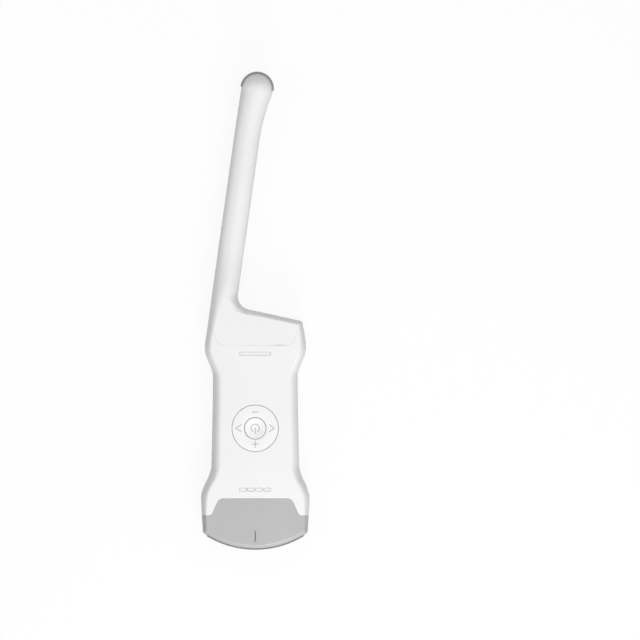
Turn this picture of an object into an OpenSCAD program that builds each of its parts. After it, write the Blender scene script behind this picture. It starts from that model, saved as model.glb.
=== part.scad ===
// Handheld wireless ultrasound scanner with two heads: a wide curved head under the handle
// and a ball-ended head on a leaning neck above it.
// X runs to the right and Y along the scanner to its ball end. It lies on its flat back at
// Z = 0 with its buttons up. The origin is on the back face, under the control pad's centre.

/* [Handle] */
// Thickness from the back face to the front face
body_t = 24; // [22.5:0.5:27]
// Width of the waist above the control pad
waist_w = 54.3; // [52.5:0.1:56]
// Width of the waist below the control pad
waist_low_w = 56.3; // [55:0.1:58]
// Width across the bell, the widest place
bell_w = 69.4; // [68.4:0.1:72]
// Width across the shoulders
shoulder_w = 64.9; // [63:0.1:66.5]
// Height of the narrowest waist above the pad centre
waist_y = 33.9; // [31:0.1:36]
// Depth of the lower waist below the pad centre
waist_low_y = 24.3; // [22:0.1:26]
// Height of the widest shoulder above the pad centre
shoulder_y = 50.9; // [49:0.1:52]
// Depth of the widest bell below the pad centre
bell_y = 44.4; // [43:0.1:46]
// Thickness of the casing walls
wall = 2; // [1.6:0.1:2.2]
// Width over which the sides round into the faces
edge_w = 4.5; // [3.8:0.1:5]
// The same where the shoulder meets its top edge
shoulder_edge_w = 3.2; // [2.8:0.1:4]

/* [Shoulder] */
// Distance of the shoulder's right corner from the centre line
corner_x = 30.2; // [29:0.1:31]
// Height of that corner above the pad centre
corner_y = 68.5; // [66.5:0.1:69.5]
// Fillet radius of that corner
corner_r = 2.7; // [2:0.1:3.2]
// Slope of the shoulder's top edge, in degrees
shoulder_slope = 12.2; // [10.5:0.1:14]

/* [Neck] */
// Diameter of the neck
neck_d = 16.5; // [15.5:0.1:17.5]
// Lean of the neck to the right, in degrees
neck_tilt = 8; // [6.5:0.1:9]
// Distance of the neck's root to the left of the centre line
neck_x = 19.9; // [19:0.1:20.5]
// Height of the neck's root above the pad centre
neck_y = 82.3; // [81:0.1:86]
// Length from the neck's root to the ball centre
neck_len = 136.7; // [120:0.5:150]
// Fillet radius between the neck and the shoulder
neck_fillet_r = 8.8; // [7:0.1:10]
// Diameter over the ball's lens
ball_d = 21.6; // [20.6:0.1:22.4]
// Distance of the ball centre to the right of the neck's axis
ball_shift = 2.06; // [1.4:0.02:2.4]

/* [Wide head] */
// Radius of the wide head's lens
lens_r = 60; // [59:0.1:61]
// Depth of the lens arc's centre below the pad centre
lens_y = 17.9; // [16.5:0.1:19]
// Thickness of the lens across the head's faces
lens_t = 14; // [12:0.2:15]
// How far both lenses stand proud of their housings
lens_proud = 0.5; // [0.3:0.05:0.7]
// How far the grey head's corners lie inside the bell's sides
nose_inset = 1.1; // [0.5:0.1:1.4]
// Distance from the lens's ends to the grey head's sides
lens_margin = 2.52; // [2.2:0.02:3.6]
// Fillet radius of those corners
nose_corner_r = 2.5; // [2:0.1:2.8]
// Width over which the grey head's edges round
nose_edge_w = 2.9; // [2.6:0.1:3.4]

/* [Seams] */
// Gap between casing pieces along their seams
seam_gap = 0.2; // [0.1:0.02:0.3]
// Depth of the grey head's flat seam below the pad centre
nose_seam_y = 44.8; // [44:0.1:45.6]
// Height of the neck casing's flat seam above the pad centre
neck_seam_y = 53.1; // [52.6:0.1:54]
// Distance from the bell's sides to the flat edge of both seam tabs
tab_inset = 11.5; // [10.7:0.1:12.7]
// Height of both seam tabs
tab_h = 10.9; // [10:0.1:11.2]
// Run of each tab's slanting side
tab_run = 4.9; // [4:0.1:5.5]

/* [Control pad] */
// Diameter of the rocking ring
ring_d = 29; // [28:0.1:30]
// Diameter of the power button
button_d = 13.4; // [12.4:0.1:13.8]
// Gap round the ring and the button
pad_gap = 0.45; // [0.4:0.01:0.5]
// How far the ring stands proud of the face
ring_proud = 0.3; // [0.2:0.05:0.5]
// Travel of the power button
button_travel = 0.5; // [0.3:0.05:0.6]
// Distance of the ring's four switches from the pad centre
dome_reach = 9.6; // [9.2:0.1:10]

/* [Indicators] */
// Height of the status window above the pad centre
status_y = 47.7; // [46.5:0.1:48.2]
// Length of the status window
status_l = 19.9; // [16:0.1:22]
// Width of the status window and of the gauge's windows
window_w = 1.9; // [1.5:0.1:2.1]
// Depth of the battery gauge below the pad centre
gauge_y = 39.2; // [38:0.1:40]
// Length of one of the gauge's windows
gauge_l = 4.6; // [4:0.1:4.8]
// Spacing of the gauge's windows
gauge_pitch = 5.15; // [5.1:0.05:5.4]

/* [Boards and battery] */
// Width of the main board
board_w = 33; // [31:0.1:34]
// Thickness of the main board
board_t = 1.2; // [1:0.1:1.4]
// Side of the square key board
key_side = 30; // [29.4:0.1:31]
// Width of the battery
battery_w = 32; // [28:0.5:33]
// Length of the battery
battery_l = 58; // [50:0.5:59]
// Thickness of the battery
battery_t = 7.2; // [6:0.1:7.6]

/* [Charging port] */
// Depth of the port's centre below the pad centre
port_y = 47.4; // [47:0.1:47.8]
// Length of the port's rubber plug
plug_l = 12; // [11:0.1:12.4]
// Width of the port's rubber plug
plug_w = 6; // [5.4:0.1:6.6]

/* [Hidden] */
$fn = 48;

// Overrun of every cut past the surface it cuts
over = 1;
// Radial clearance of screws and pins in their holes
fit_gap = 0.05;
// Clearance between inner pieces that sit beside each other
seat_gap = 0.2;
// Thickness of the casing gaskets
gasket_t = 0.3;
// Distance of the gaskets from both faces of the wall
gasket_inset = 0.4;
// Steps of a rounded edge, from the side to the face
edge_steps = 5;
// Steps of a small fillet
fillet_steps = 3;
// Steps of the fillet between the neck and the shoulder
neck_fillet_steps = 4;

mid_z = body_t / 2;
inner_z = body_t - wall;
neck_r = neck_d / 2;
ball_r = ball_d / 2;
ball_case_r = ball_r - lens_proud;
nose_r = lens_r - lens_proud;
flank_x = bell_w / 2;
nose_half = flank_x - nose_inset;
tab_half = flank_x - tab_inset;
// Angle of a length across the wide head, seen from the centre of its lens
function lens_a(l) = asin(l / lens_r);
lens_field = 2 * lens_a(nose_half - lens_margin);

function unit(v) = v / norm(v);
function heading(a) = [sin(a), cos(a)];
function flat(lists) = [for (l = lists) for (item = l) item];
function backwards(l) = [for (i = [len(l) - 1 : -1 : 0]) l[i]];
function crossing(p, d, q, e) = p + d * cross(q - p, e) / cross(d, e);

// Arc of a fillet of radius r at corner v, from the side towards a to the side towards b
function fillet_centre(a, v, b, r) =
    let (da = unit(a - v), db = unit(b - v))
    v + unit(da + db) * r / sin(acos(da * db) / 2);
function fillet(a, v, b, r, steps) =
    let (
        da = unit(a - v), db = unit(b - v), half = acos(da * db) / 2,
        c = fillet_centre(a, v, b, r),
        start = v + da * r / tan(half) - c,
        turn = (180 - 2 * half) * sign(cross(v - a, b - v))
    )
    [for (i = [0 : steps])
        let (t = turn * i / steps)
        c + [start.x * cos(t) - start.y * sin(t), start.x * sin(t) + start.y * cos(t)]];

// The casing's outer form is a stack of rows. Each row has an outline point and a face
// point on the left and on the right, and the height of its face over the middle plane:
// [left edge, left face, right edge, right face, height].
function even_row(edge, face, height) =
    [[0 - edge.x, edge.y], [0 - face.x, face.y], edge, face, height];

arc_centre = [0, -lens_y];
function on_arc(r, a) = arc_centre + r * [sin(a), -cos(a)];
arc_rows = [for (share = [0, 0.2, 0.4, 0.6, 0.8, 0.95])
    let (a = share * lens_field / 2)
    even_row(on_arc(nose_r, a), on_arc(nose_r - nose_edge_w, a), mid_z)];

function inset_corner(r) =
    [nose_half - r, -lens_y - sqrt((nose_r - r) ^ 2 - (nose_half - r) ^ 2)];
nose_corner = inset_corner(nose_corner_r);
nose_corner_a = asin(nose_corner.x / (nose_r - nose_corner_r));
corner_rows = [for (i = [0 : fillet_steps])
    let (a = nose_corner_a + (90 - nose_corner_a) * i / fillet_steps)
    even_row(nose_corner + nose_corner_r * [sin(a), -cos(a)], inset_corner(nose_edge_w), mid_z)];

function side_row(half_w, y) = even_row([half_w, y], [half_w - edge_w, y], mid_z);
// Shares of the way up from the bell to the lower waist, and of the width lost on it
bell_shares = [[0, 0], [0.17, 0.08], [0.36, 0.29], [0.75, 0.82], [1, 1]];
// Shares of the way up from the waist to the shoulder, and of the width won on it
taper_shares = [[0, 0], [0.78, 0.86], [1, 1]];
bell_rows = [for (s = bell_shares)
    side_row((bell_w + (waist_low_w - bell_w) * s[1]) / 2, -bell_y + (bell_y - waist_low_y) * s[0])];
taper_rows = [for (s = taper_shares)
    side_row((waist_w + (shoulder_w - waist_w) * s[1]) / 2, waist_y + (shoulder_y - waist_y) * s[0])];

// The neck's own directions: along its axis, and across it to the right
along = heading(neck_tilt);
across = [cos(neck_tilt), -sin(neck_tilt)];
neck_root = [-neck_x, neck_y];
function on_neck(s, side = 0) = neck_root + along * s + across * side;

shoulder_left = [-shoulder_w / 2, shoulder_y];
shoulder_right = [shoulder_w / 2, shoulder_y];
corner = [corner_x, corner_y];
top_edge = [-cos(shoulder_slope), sin(shoulder_slope)];
valley = crossing(on_neck(0, neck_r), along, corner, top_edge);
valley_arc = fillet(corner, valley, on_neck(neck_len, neck_r), neck_fillet_r, neck_fillet_steps);
valley_centre = fillet_centre(corner, valley, on_neck(neck_len, neck_r), neck_fillet_r);
valley_end = valley_arc[neck_fillet_steps];
neck_start = (valley_end - neck_root) * along;
left_end = on_neck(neck_start, -neck_r);
corner_arc = fillet(shoulder_right, corner, valley, corner_r, fillet_steps);
corner_face = fillet_centre(shoulder_right, corner, valley, shoulder_edge_w);

// Shares of the way up the left side that pair with the points on the right
mid_share = 0.25;
corner_shares = [0.42, 0.47, 0.52, 0.57];
edge_share = 0.66;
valley_shares = [0.76, 0.83, 0.89, 0.95, 1];
// Shares of the rounding's growth to the whole neck, on the left and along the valley
crease_start_share = 0.2;
valley_w_shares = [0, 0.2, 0.5, 0.8, 1];
// Shares of the face's fall from the handle to the neck, from the top edge's middle up
edge_fall_share = 0;
valley_fall_shares = [0.04, 0.16, 0.36, 0.58, 0.78];

function left_edge(share) = shoulder_left + (left_end - shoulder_left) * share;
function left_w(share) =
    edge_w + (neck_r - edge_w) * max(0, (share - crease_start_share) / (1 - crease_start_share));
function left_face(share) =
    left_edge(share) + left_w(share) * (across * share + [1 - share, 0]);
function fallen(share) = mid_z + (neck_r - mid_z) * share;
function top_row(share, edge, face, fall = 0) =
    [left_edge(share), left_face(share), edge, face, fallen(fall)];

mid_right = (shoulder_right + corner_arc[0]) / 2;
mid_edge = (corner_arc[fillet_steps] + valley_arc[0]) / 2;
top_rows = concat(
    [top_row(mid_share, mid_right, mid_right - [(edge_w + shoulder_edge_w) / 2, 0])],
    [for (i = [0 : fillet_steps]) top_row(corner_shares[i], corner_arc[i], corner_face)],
    [top_row(edge_share, mid_edge,
        mid_edge - shoulder_edge_w * [sin(shoulder_slope), cos(shoulder_slope)], edge_fall_share)],
    [for (i = [0 : neck_fillet_steps])
        let (w = shoulder_edge_w + (neck_r - shoulder_edge_w) * valley_w_shares[i])
        top_row(valley_shares[i], valley_arc[i],
            valley_arc[i] + w * unit(valley_arc[i] - valley_centre), valley_fall_shares[i])]
);

// A round neck row at s along the axis that reaches so far to the left and to the right
function neck_row(s, left, right) =
    let (face = on_neck(s, (right - left) / 2))
    [on_neck(s, -left), face, on_neck(s, right), face, (left + right) / 2];
// Length over which the face settles to the neck's own height
settle_l = 8;
// Angle below the ball's equator where the neck's flare meets it
flare_a = 14;
ball_left = ball_case_r * cos(flare_a) - ball_shift;
ball_right = ball_case_r * cos(flare_a) + ball_shift;
flare_end = neck_len - ball_case_r * sin(flare_a);
flare_l = 2 * (ball_right - neck_r) / tan(flare_a);
flare_shares = [0, 0.3, 0.55, 0.78, 1];
flare_rows = [for (t = flare_shares)
    neck_row(flare_end + (t - 1) * flare_l,
        neck_r + (ball_left - neck_r) * t ^ 2, neck_r + (ball_right - neck_r) * t ^ 2)];
settle_row = neck_row(neck_start + settle_l, neck_r, neck_r);

rows = concat(arc_rows, corner_rows, bell_rows, taper_rows, top_rows, [settle_row], flare_rows);
bell_i = len(arc_rows) + len(corner_rows);
taper_i = bell_i + len(bell_rows);
top_i = taper_i + len(taper_rows);
ball_i = len(rows);
ball_steps = 5;
last_i = ball_i + ball_steps;

// A row moved in by depth, for the inner faces of the walls
function inset_row(i, depth) =
    i >= ball_i
    ? let (r = ball_case_r - depth, a = 90 * (i - ball_i) / ball_steps)
        neck_row(neck_len + r * sin(a), r * cos(a) - ball_shift, r * cos(a) + ball_shift)
    : let (row = rows[i])
        [row[0] + depth * unit(row[1] - row[0]), row[1],
            row[2] + depth * unit(row[3] - row[2]), row[3], row[4] - depth];

// Half a row's section from the left edge over the face to the right edge, from z0 up
function half_section(i, depth, z0 = 0) =
    let (
        row = inset_row(i, depth), h = row[4], a0 = h > z0 ? asin(z0 / h) : 90,
        angles = [for (k = [0 : edge_steps]) a0 + (90 - a0) * k / edge_steps],
        rib = function (edge, face, a)
            let (p = edge + (face - edge) * (1 - cos(a))) [p.x, p.y, max(h * sin(a), z0)]
    )
    concat(
        [for (a = angles) rib(row[0], row[1], a)],
        [for (a = backwards(angles)) rib(row[2], row[3], a)]
    );
function flipped(points) = [for (p = points) [p.x, p.y, 0 - p.z]];

// Solid between two surfaces that share their ends, each a list of rows of points.
// Where the first row is a pole, its left and right halves meet and it needs no end.
module skin(upper, lower, pole = false) {
    n = len(upper[0]);
    rings = [for (i = [0 : len(upper) - 1]) concat(upper[i], backwards(lower[i]))];
    size = 2 * n;
    last = (len(rings) - 1) * size;
    sides = [for (i = [0 : len(rings) - 2], k = [0 : size - 1])
        let (a = i * size + k, b = i * size + (k + 1) % size)
        [[a, a + size, b], [b, a + size, b + size]]];
    ends = [for (k = [0 : n - 2])
        let (a = k, b = k + 1, c = size - 2 - k, d = size - 1 - k)
        concat(pole ? [] : [[a, b, c], [a, c, d]],
            [[last + a, last + c, last + b], [last + a, last + d, last + c]])];
    polyhedron(points = flat(rings), faces = concat(flat(sides), flat(ends)));
}

// Half of the casing, as thick as the wall, between two rows
module half_casing(from, to) {
    skin([for (i = [from : to]) half_section(i, 0, gasket_t / 2)],
        [for (i = [from : to]) half_section(i, wall, gasket_t / 2)]);
}

// The whole form between two rows, moved in by depth
module whole_form(from, to, depth = 0) {
    translate([0, 0, mid_z])
        skin([for (i = [from : to]) half_section(i, depth)],
            [for (i = [from : to]) flipped(half_section(i, depth))], from == 0);
}

module front_half() {
    translate([0, 0, mid_z]) children();
}

module back_half() {
    translate([0, 0, mid_z]) mirror([0, 0, 1]) children();
}

// The gasket strip in the rim of one side, which is 0 on the left and 2 on the right
module gasket_strip(from, to, side) {
    inner = wall - gasket_inset;
    upper = [for (i = [from : to])
        let (p = inset_row(i, gasket_inset)[side], q = inset_row(i, inner)[side])
        [[p.x, p.y, gasket_t / 2], [q.x, q.y, gasket_t / 2]]];
    translate([0, 0, mid_z]) {
        if (side == 0) skin(upper, [for (r = upper) flipped(r)]);
        else skin([for (r = upper) backwards(r)], [for (r = upper) flipped(backwards(r))]);
    }
}

// Both seams are one tab: a flat edge with slanting sides that level out at the flanks
tab_r = 4.6;
tab_foot_r = 2.3;
seam_steps = 5;
function seam(y, rise, trim) =
    let (
        half = tab_half + trim, foot = half + tab_run, side = flank_x + over,
        a = [half, y], b = [foot, y + rise], c = [side, y + rise],
        right = concat(fillet([0, y], a, b, tab_r, seam_steps),
            fillet(a, b, c, tab_foot_r, seam_steps), [c])
    )
    concat(backwards([for (p = right) [0 - p.x, p.y]]), right);

module zone(points) {
    translate([0, 0, -over]) linear_extrude(body_t + 2 * over) polygon(points);
}

module handle_zone() {
    zone(concat(seam(-nose_seam_y + seam_gap / 2, -tab_h, seam_gap / 2),
        backwards(seam(neck_seam_y - seam_gap / 2, tab_h, seam_gap / 2))));
}

module nose_zone() {
    bottom = -lens_y - lens_r - over;
    side = flank_x + over;
    zone(concat(seam(-nose_seam_y - seam_gap / 2, -tab_h, -seam_gap / 2),
        [[side, bottom], [0 - side, bottom]]));
}

module neck_zone() {
    top = neck_y + neck_len + ball_r + over;
    side = flank_x + over;
    zone(concat(seam(neck_seam_y + seam_gap / 2, tab_h, -seam_gap / 2), [[side, top], [0 - side, top]]));
}

// Moves into the neck's frame: its axis along Z, with its root at zero
module on_neck_axis(s = 0) {
    p = on_neck(s);
    translate([p.x, p.y, mid_z]) rotate([0, 0, -neck_tilt]) rotate([-90, 0, 0]) children();
}

// A plate with rounded ends
end_steps = 6;
function stadium(l, w) =
    let (r = w / 2, half = l / 2 - r)
    concat(
        [for (i = [0 : end_steps]) let (a = -90 + 180 * i / end_steps) [half + r * cos(a), r * sin(a)]],
        [for (i = [0 : end_steps]) let (a = 90 + 180 * i / end_steps) [r * cos(a) - half, r * sin(a)]]
    );
module stadium_plate(l, w, h) {
    linear_extrude(h) polygon(stadium(l, w));
}

module block(size, at) {
    translate([at.x - size.x / 2, at.y - size.y / 2, at.z]) cube(size);
}

// A round tube along a route, its ends square to its first and last runs
tube_sides = 10;
module tube(route, r) {
    last = len(route) - 1;
    heads = [for (i = [0 : last])
        unit(route[min(i + 1, last)] - route[i] + route[i] - route[max(i - 1, 0)])];
    rings = [for (i = [0 : last])
        let (
            h = heads[i], side = unit(cross(h, abs(h.z) > 0.9 ? [1, 0, 0] : [0, 0, 1])),
            up = cross(side, h)
        )
        [for (k = [0 : tube_sides - 1])
            let (a = 360 * k / tube_sides) route[i] + r * (side * cos(a) + up * sin(a))]];
    sides = [for (i = [0 : last - 1], k = [0 : tube_sides - 1])
        let (a = i * tube_sides + k, b = i * tube_sides + (k + 1) % tube_sides)
        [[a, b, a + tube_sides], [b, b + tube_sides, a + tube_sides]]];
    first_end = [for (k = [1 : tube_sides - 2]) [0, k + 1, k]];
    base = last * tube_sides;
    last_end = [for (k = [1 : tube_sides - 2]) [base, base + k, base + k + 1]];
    polyhedron(points = flat(rings), faces = concat(flat(sides), first_end, last_end));
}

// A flexible strip of one width across X that follows a route of [y, z] points
flex_t = 0.3;
module flex_strip(route, w) {
    lower = [for (p = route) p - [0, flex_t / 2]];
    upper = [for (p = route) p + [0, flex_t / 2]];
    translate([-w / 2, 0, 0]) rotate([90, 0, 90])
        linear_extrude(w) polygon(concat(lower, backwards(upper)));
}

// Screws that join the two halves of the casings
screw_r = 1;
screw_head_r = 2.1;
screw_head_h = 1.4;
boss_r = 2.8;
plug_cap_r = 2.4;
plug_cap_t = 1.5;
plug_cap_sink = 0.15;
screw_reach = 7;
case_screw_x = 20.6;
case_screw_ys = [30, -22];
neck_screw_at = [[21, 61], [-23.4, 64]];
case_screw_at = [for (y = case_screw_ys, side = [-1, 1]) [side * case_screw_x, y]];
seat_z = plug_cap_sink + plug_cap_t + fit_gap + screw_head_h;

module front_boss(at) {
    translate([at.x, at.y, mid_z + gasket_t / 2])
        cylinder(r = boss_r, h = inner_z - mid_z + wall / 2 - gasket_t / 2);
}

module front_pilot(at) {
    translate([at.x, at.y, mid_z - over])
        cylinder(r = screw_r + fit_gap, h = screw_reach + over + fit_gap);
}

module back_boss(at) {
    translate([at.x, at.y, wall / 2]) cylinder(r = boss_r, h = mid_z - wall / 2 - gasket_t / 2);
}

module back_hole(at) {
    translate([at.x, at.y, -over]) cylinder(r = screw_r + fit_gap, h = mid_z + 2 * over);
    translate([at.x, at.y, -over]) cylinder(r = plug_cap_r + fit_gap, h = seat_z + over);
}

module case_screw(at) {
    translate([at.x, at.y, seat_z - screw_head_h]) cylinder(r = screw_head_r, h = screw_head_h);
    translate([at.x, at.y, seat_z]) cylinder(r = screw_r, h = mid_z + screw_reach - seat_z);
}

// Control pad: the ring rocks on a gimbal, and its switches lie on the key board
button_r = button_d / 2;
ring_r = ring_d / 2;
ring_bore_r = button_r + pad_gap;
pad_hole_r = ring_r + pad_gap;
flange_reach = 1.5;
flange_t = 0.8;
flange_drop = 1;
flange_z = inner_z - flange_drop;
ring_low_z = flange_z - flange_t;
ring_top_z = body_t + ring_proud;
gimbal_t = 1.2;
gimbal_drop = 0.8;
gimbal_z = ring_low_z - gimbal_drop - gimbal_t;
axle_z = gimbal_z + gimbal_t / 2;
gimbal_in_r = 11.5;
gimbal_out_r = 13.2;
axle_r = 0.5;
axle_gap = 0.06;
ear_gap = 0.35;
ear_t = 1.3;
ear_w = 2.6;
post_gap = 0.35;
post_t = 1.8;
flange_r = ring_r + flange_reach;
axle_post_x = flange_r + post_gap;

// Key board under the pad
dome_h = 0.9;
dome_r = 2.1;
nub_r = 1;
nub_gap = 0.5;
key_t = 1;
mat_t = 0.4;
key_top_z = gimbal_z - nub_gap - dome_h - mat_t;
key_z = key_top_z - key_t;
key_post_inset = 2.2;
key_post_r = 1.4;
key_screw_r = 0.6;
key_head_r = 1.3;
key_head_h = 0.7;
key_screw_l = 3;
key_post_at = [for (x = [-1, 1], y = [-1, 1])
    [x * (key_side / 2 - key_post_inset), y * (key_side / 2 - key_post_inset)]];
dome_at = [[0, 0], [dome_reach, 0], [0 - dome_reach, 0], [0, dome_reach], [0, 0 - dome_reach]];

// Main board on posts from the back shell
board_low_y = 34;
board_high_y = 45;
board_z = mid_z + gasket_t / 2 + seat_gap;
board_top_z = board_z + board_t;
board_post_r = 2.2;
board_post_inset = 3;
board_post_x = board_w / 2 - board_post_inset;
board_post_at = [for (x = [-1, 1], y = [board_high_y - 4 * fit_gap - board_post_inset,
    board_post_inset - board_low_y]) [x * board_post_x, y]];
board_head_r = 1.9;
board_head_h = 1.1;
board_screw_r = 0.9;
board_screw_l = 4;

// Boards and lights behind the windows
led_board_t = 0.8;
led_drop = 1.6;
led_h = 0.7;
led_side = 1.6;
led_board_w = 5.6;
led_board_l = 26;
led_post_r = 1;
led_post_inset = 1.2;
led_board_z = inner_z - led_drop;
led_rows_y = [status_y, -gauge_y];
window_sink = 0.1;
window_gap = 0.15;
gauge_xs = [for (i = [-1.5 : 1 : 1.5]) i * gauge_pitch];
led_xs = [-7.5, -2.5, 2.5, 7.5];

// Charging port in the right flank
port_setback = 9.7;
port_tail = 0.5;
port_post_in = 5;
port_x = flank_x - port_setback;
port_board_x = port_x - port_tail;
port_board_l = 7;
port_board_w = 10.4;
port_board_t = 1.2;
port_w = 9;
port_h = 3.2;
port_l = 7;
port_lip = 0.4;
port_tongue_t = 0.7;
port_tongue_l = 4.5;
port_post_r = 1.2;
port_post_x = port_x + port_post_in;
port_post_spread = 2.6;
plug_gap = 0.2;
plug_t = 1.9;
nick_r = 2;
nick_sink = 0.5;
nick_l = 7;
nick_y = -port_y + plug_l / 2 + nick_r;
nick_lost = lookup((nick_y + bell_y) / (bell_y - waist_low_y), bell_shares);
nick_flank_x = (bell_w + (waist_low_w - bell_w) * nick_lost) / 2;

// Wide head
lens_thick = 2.3;
array_t = 1.2;
backing_t = 7.5;
frame_t = 2.4;
array_trim = 0.5;
lens_crown = 0.6;
crown_steps = 6;
window_trim = 0.15;
window_field = lens_field + 2 * lens_a(window_trim);
flex_w = 24;
flex_slot_gap = 0.3;
connector_w = 22;
connector_l = 4;
connector_h = 1.8;
mark_y = 68.9;
mark_l = 7.2;
mark_w = 0.6;
mark_t = 0.8;

// Ball head
tip_lens_t = 1.9;
tip_array_t = 1;
tip_half_z = 4.5;
tip_window_gap = 0.15;
tip_frame_l = 11;
cable_r = 2;
saddle_t = 1.5;
saddle_s = [22, 58, 94];
rib_end_s = 130.5;
rib_l = 17;
rib_r = 1.6;
rib_shift = -0.7;
rib_proud = 0.6;

module front_shell() color("#f4f4f4") difference() {
    union() {
        intersection() {
            front_half() half_casing(bell_i - 1, top_i + 1);
            handle_zone();
        }
        for (at = case_screw_at) front_boss(at);
        for (at = key_post_at) translate([at.x, at.y, key_top_z])
            cylinder(r = key_post_r, h = inner_z - key_top_z + wall / 2);
        for (side = [-1, 1])
            block([post_t, ear_w, inner_z - gimbal_z + wall / 2],
                [side * (axle_post_x + post_t / 2), 0, gimbal_z]);
        for (y = led_rows_y, side = [-1, 1])
            translate([side * (led_board_l / 2 - led_post_inset), y, led_board_z + led_board_t])
                cylinder(r = led_post_r, h = inner_z - led_board_z - led_board_t + wall / 2);
    }
    translate([0, 0, inner_z - over]) cylinder(r = pad_hole_r, h = wall + 2 * over);
    for (at = case_screw_at) front_pilot(at);
    for (at = key_post_at) translate([at.x, at.y, key_top_z - over])
        cylinder(r = key_screw_r + fit_gap, h = key_screw_l - key_t + over + fit_gap);
    translate([0 - axle_post_x - post_t - over, 0, axle_z]) rotate([0, 90, 0])
        cylinder(r = axle_r + axle_gap, h = 2 * (axle_post_x + post_t + over));
    translate([0, status_y, inner_z - over])
        stadium_plate(status_l + 2 * window_gap, window_w + 2 * window_gap, wall + 2 * over);
    for (x = gauge_xs) translate([x, -gauge_y, inner_z - over])
        stadium_plate(gauge_l + 2 * window_gap, window_w + 2 * window_gap, wall + 2 * over);
    port_opening();
}

module back_shell() color("#f0f0f0") difference() {
    union() {
        intersection() {
            back_half() half_casing(bell_i - 1, top_i + 1);
            handle_zone();
        }
        for (at = case_screw_at) back_boss(at);
        for (at = board_post_at) translate([at.x, at.y, wall / 2])
            cylinder(r = board_post_r, h = board_z - wall / 2);
        for (side = [-1, 1]) translate([port_post_x, side * port_post_spread - port_y, wall / 2])
            cylinder(r = port_post_r, h = mid_z - port_h / 2 - port_board_t - wall / 2);
    }
    for (at = case_screw_at) back_hole(at);
    for (at = board_post_at) translate([at.x, at.y, board_z - board_screw_l])
        cylinder(r = board_screw_r + fit_gap, h = board_screw_l + over);
    port_opening();
}

module port_opening() {
    translate([flank_x - wall - over, -port_y, mid_z]) rotate([90, 0, 90])
        stadium_plate(plug_l + 2 * plug_gap, plug_w + 2 * plug_gap, wall + 2 * over);
    translate([nick_flank_x + nick_r - nick_sink, nick_y, mid_z - nick_l / 2])
        cylinder(r = nick_r, h = nick_l);
}

module tip_slot() {
    on_neck_axis(neck_len) translate([-ball_d, -tip_half_z - tip_window_gap, 0])
        cube([2 * ball_d, 2 * (tip_half_z + tip_window_gap), ball_d]);
}

module neck_front_shell() color("#f4f4f4") difference() {
    union() {
        intersection() {
            front_half() half_casing(top_i - 1, last_i);
            neck_zone();
        }
        for (at = neck_screw_at) front_boss(at);
        hull() {
            rib_ball(rib_end_s, rib_r, rib_proud);
            rib_ball(rib_end_s - rib_l, rib_r / 2, -rib_proud / 2);
        }
    }
    for (at = neck_screw_at) front_pilot(at);
    tip_slot();
}

module rib_ball(s, r, proud) {
    p = on_neck(s, rib_shift);
    translate([p.x, p.y, mid_z + neck_r + proud - r]) sphere(r = r, $fn = 16);
}

module neck_back_shell() color("#f0f0f0") difference() {
    union() {
        intersection() {
            back_half() half_casing(top_i - 1, last_i);
            neck_zone();
        }
        for (at = neck_screw_at) back_boss(at);
        for (s = saddle_s) saddle(s);
    }
    for (at = neck_screw_at) back_hole(at);
    tip_slot();
}

module saddle(s) {
    difference() {
        on_neck_axis(s) cylinder(r = neck_r - wall / 2, h = saddle_t);
        on_neck_axis(s - over) cylinder(r = cable_r + seat_gap, h = saddle_t + 2 * over);
        on_neck_axis(s - over) translate([-neck_r, -neck_r, 0])
            cube([neck_d, neck_r + gasket_t / 2, saddle_t + 2 * over]);
    }
}

module nose_housing() color("#b7babd") difference() {
    intersection() {
        whole_form(0, bell_i + 2);
        nose_zone();
    }
    whole_form(0, bell_i + 3, wall);
    arc_band(nose_r - wall - over, nose_r + over, lens_t / 2 + window_trim, window_field);
    block([mark_w, mark_l, wall], [0, -mark_y, body_t - mark_t]);
}

module body_gasket() color("#8a8c8e") difference() {
    intersection() {
        union() {
            gasket_strip(bell_i - 1, top_i + 1, 0);
            gasket_strip(bell_i - 1, top_i + 1, 2);
        }
        handle_zone();
    }
    port_opening();
}

module neck_gasket() color("#8a8c8e") intersection() {
    union() {
        gasket_strip(top_i - 1, ball_i, 0);
        gasket_strip(top_i - 1, ball_i, 2);
    }
    neck_zone();
}

module case_screws() color("#9aa0a6") {
    for (at = concat(case_screw_at, neck_screw_at)) case_screw(at);
}

module screw_plugs() color("#dcdcdc") {
    for (at = concat(case_screw_at, neck_screw_at)) translate([at.x, at.y, plug_cap_sink])
        cylinder(r = plug_cap_r, h = plug_cap_t);
}

module midline_mark() color("#4a4d50") {
    block([mark_w, mark_l, mark_t], [0, -mark_y, body_t - mark_t]);
}

// A ring segment about the lens centre, centred on straight down, as wide as an angle
module arc_band(r_in, r_out, half_z, angle) {
    arc_profile([[r_in, 0 - half_z], [r_out, 0 - half_z], [r_out, half_z], [r_in, half_z]], angle);
}

module arc_profile(points, angle) {
    translate([0, -lens_y, mid_z]) rotate([0, 0, -90 - angle / 2])
        rotate_extrude(angle = angle) polygon(points);
}

function crowned(r_in, r_out, half_z, crown) = concat(
    [[r_in, 0 - half_z]],
    [for (i = [0 : crown_steps]) let (t = -1 + 2 * i / crown_steps)
        [r_out - crown * t ^ 2, t * half_z]],
    [[r_in, half_z]]
);

module convex_lens() color("#6f7378") {
    arc_profile(crowned(lens_r - lens_thick, lens_r, lens_t / 2, lens_crown), lens_field);
}

array_r = lens_r - lens_thick - fit_gap;
array_field = lens_field - 2 * lens_a(2 * array_trim);
backing_r = array_r - array_t;
frame_r = backing_r - backing_t;

module convex_array() color("#b08d57") {
    arc_band(backing_r, array_r, lens_t / 2 - array_trim, array_field);
}

module convex_backing() color("#2f3133") {
    arc_band(frame_r, backing_r, lens_t / 2 - array_trim, array_field);
}

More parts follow.
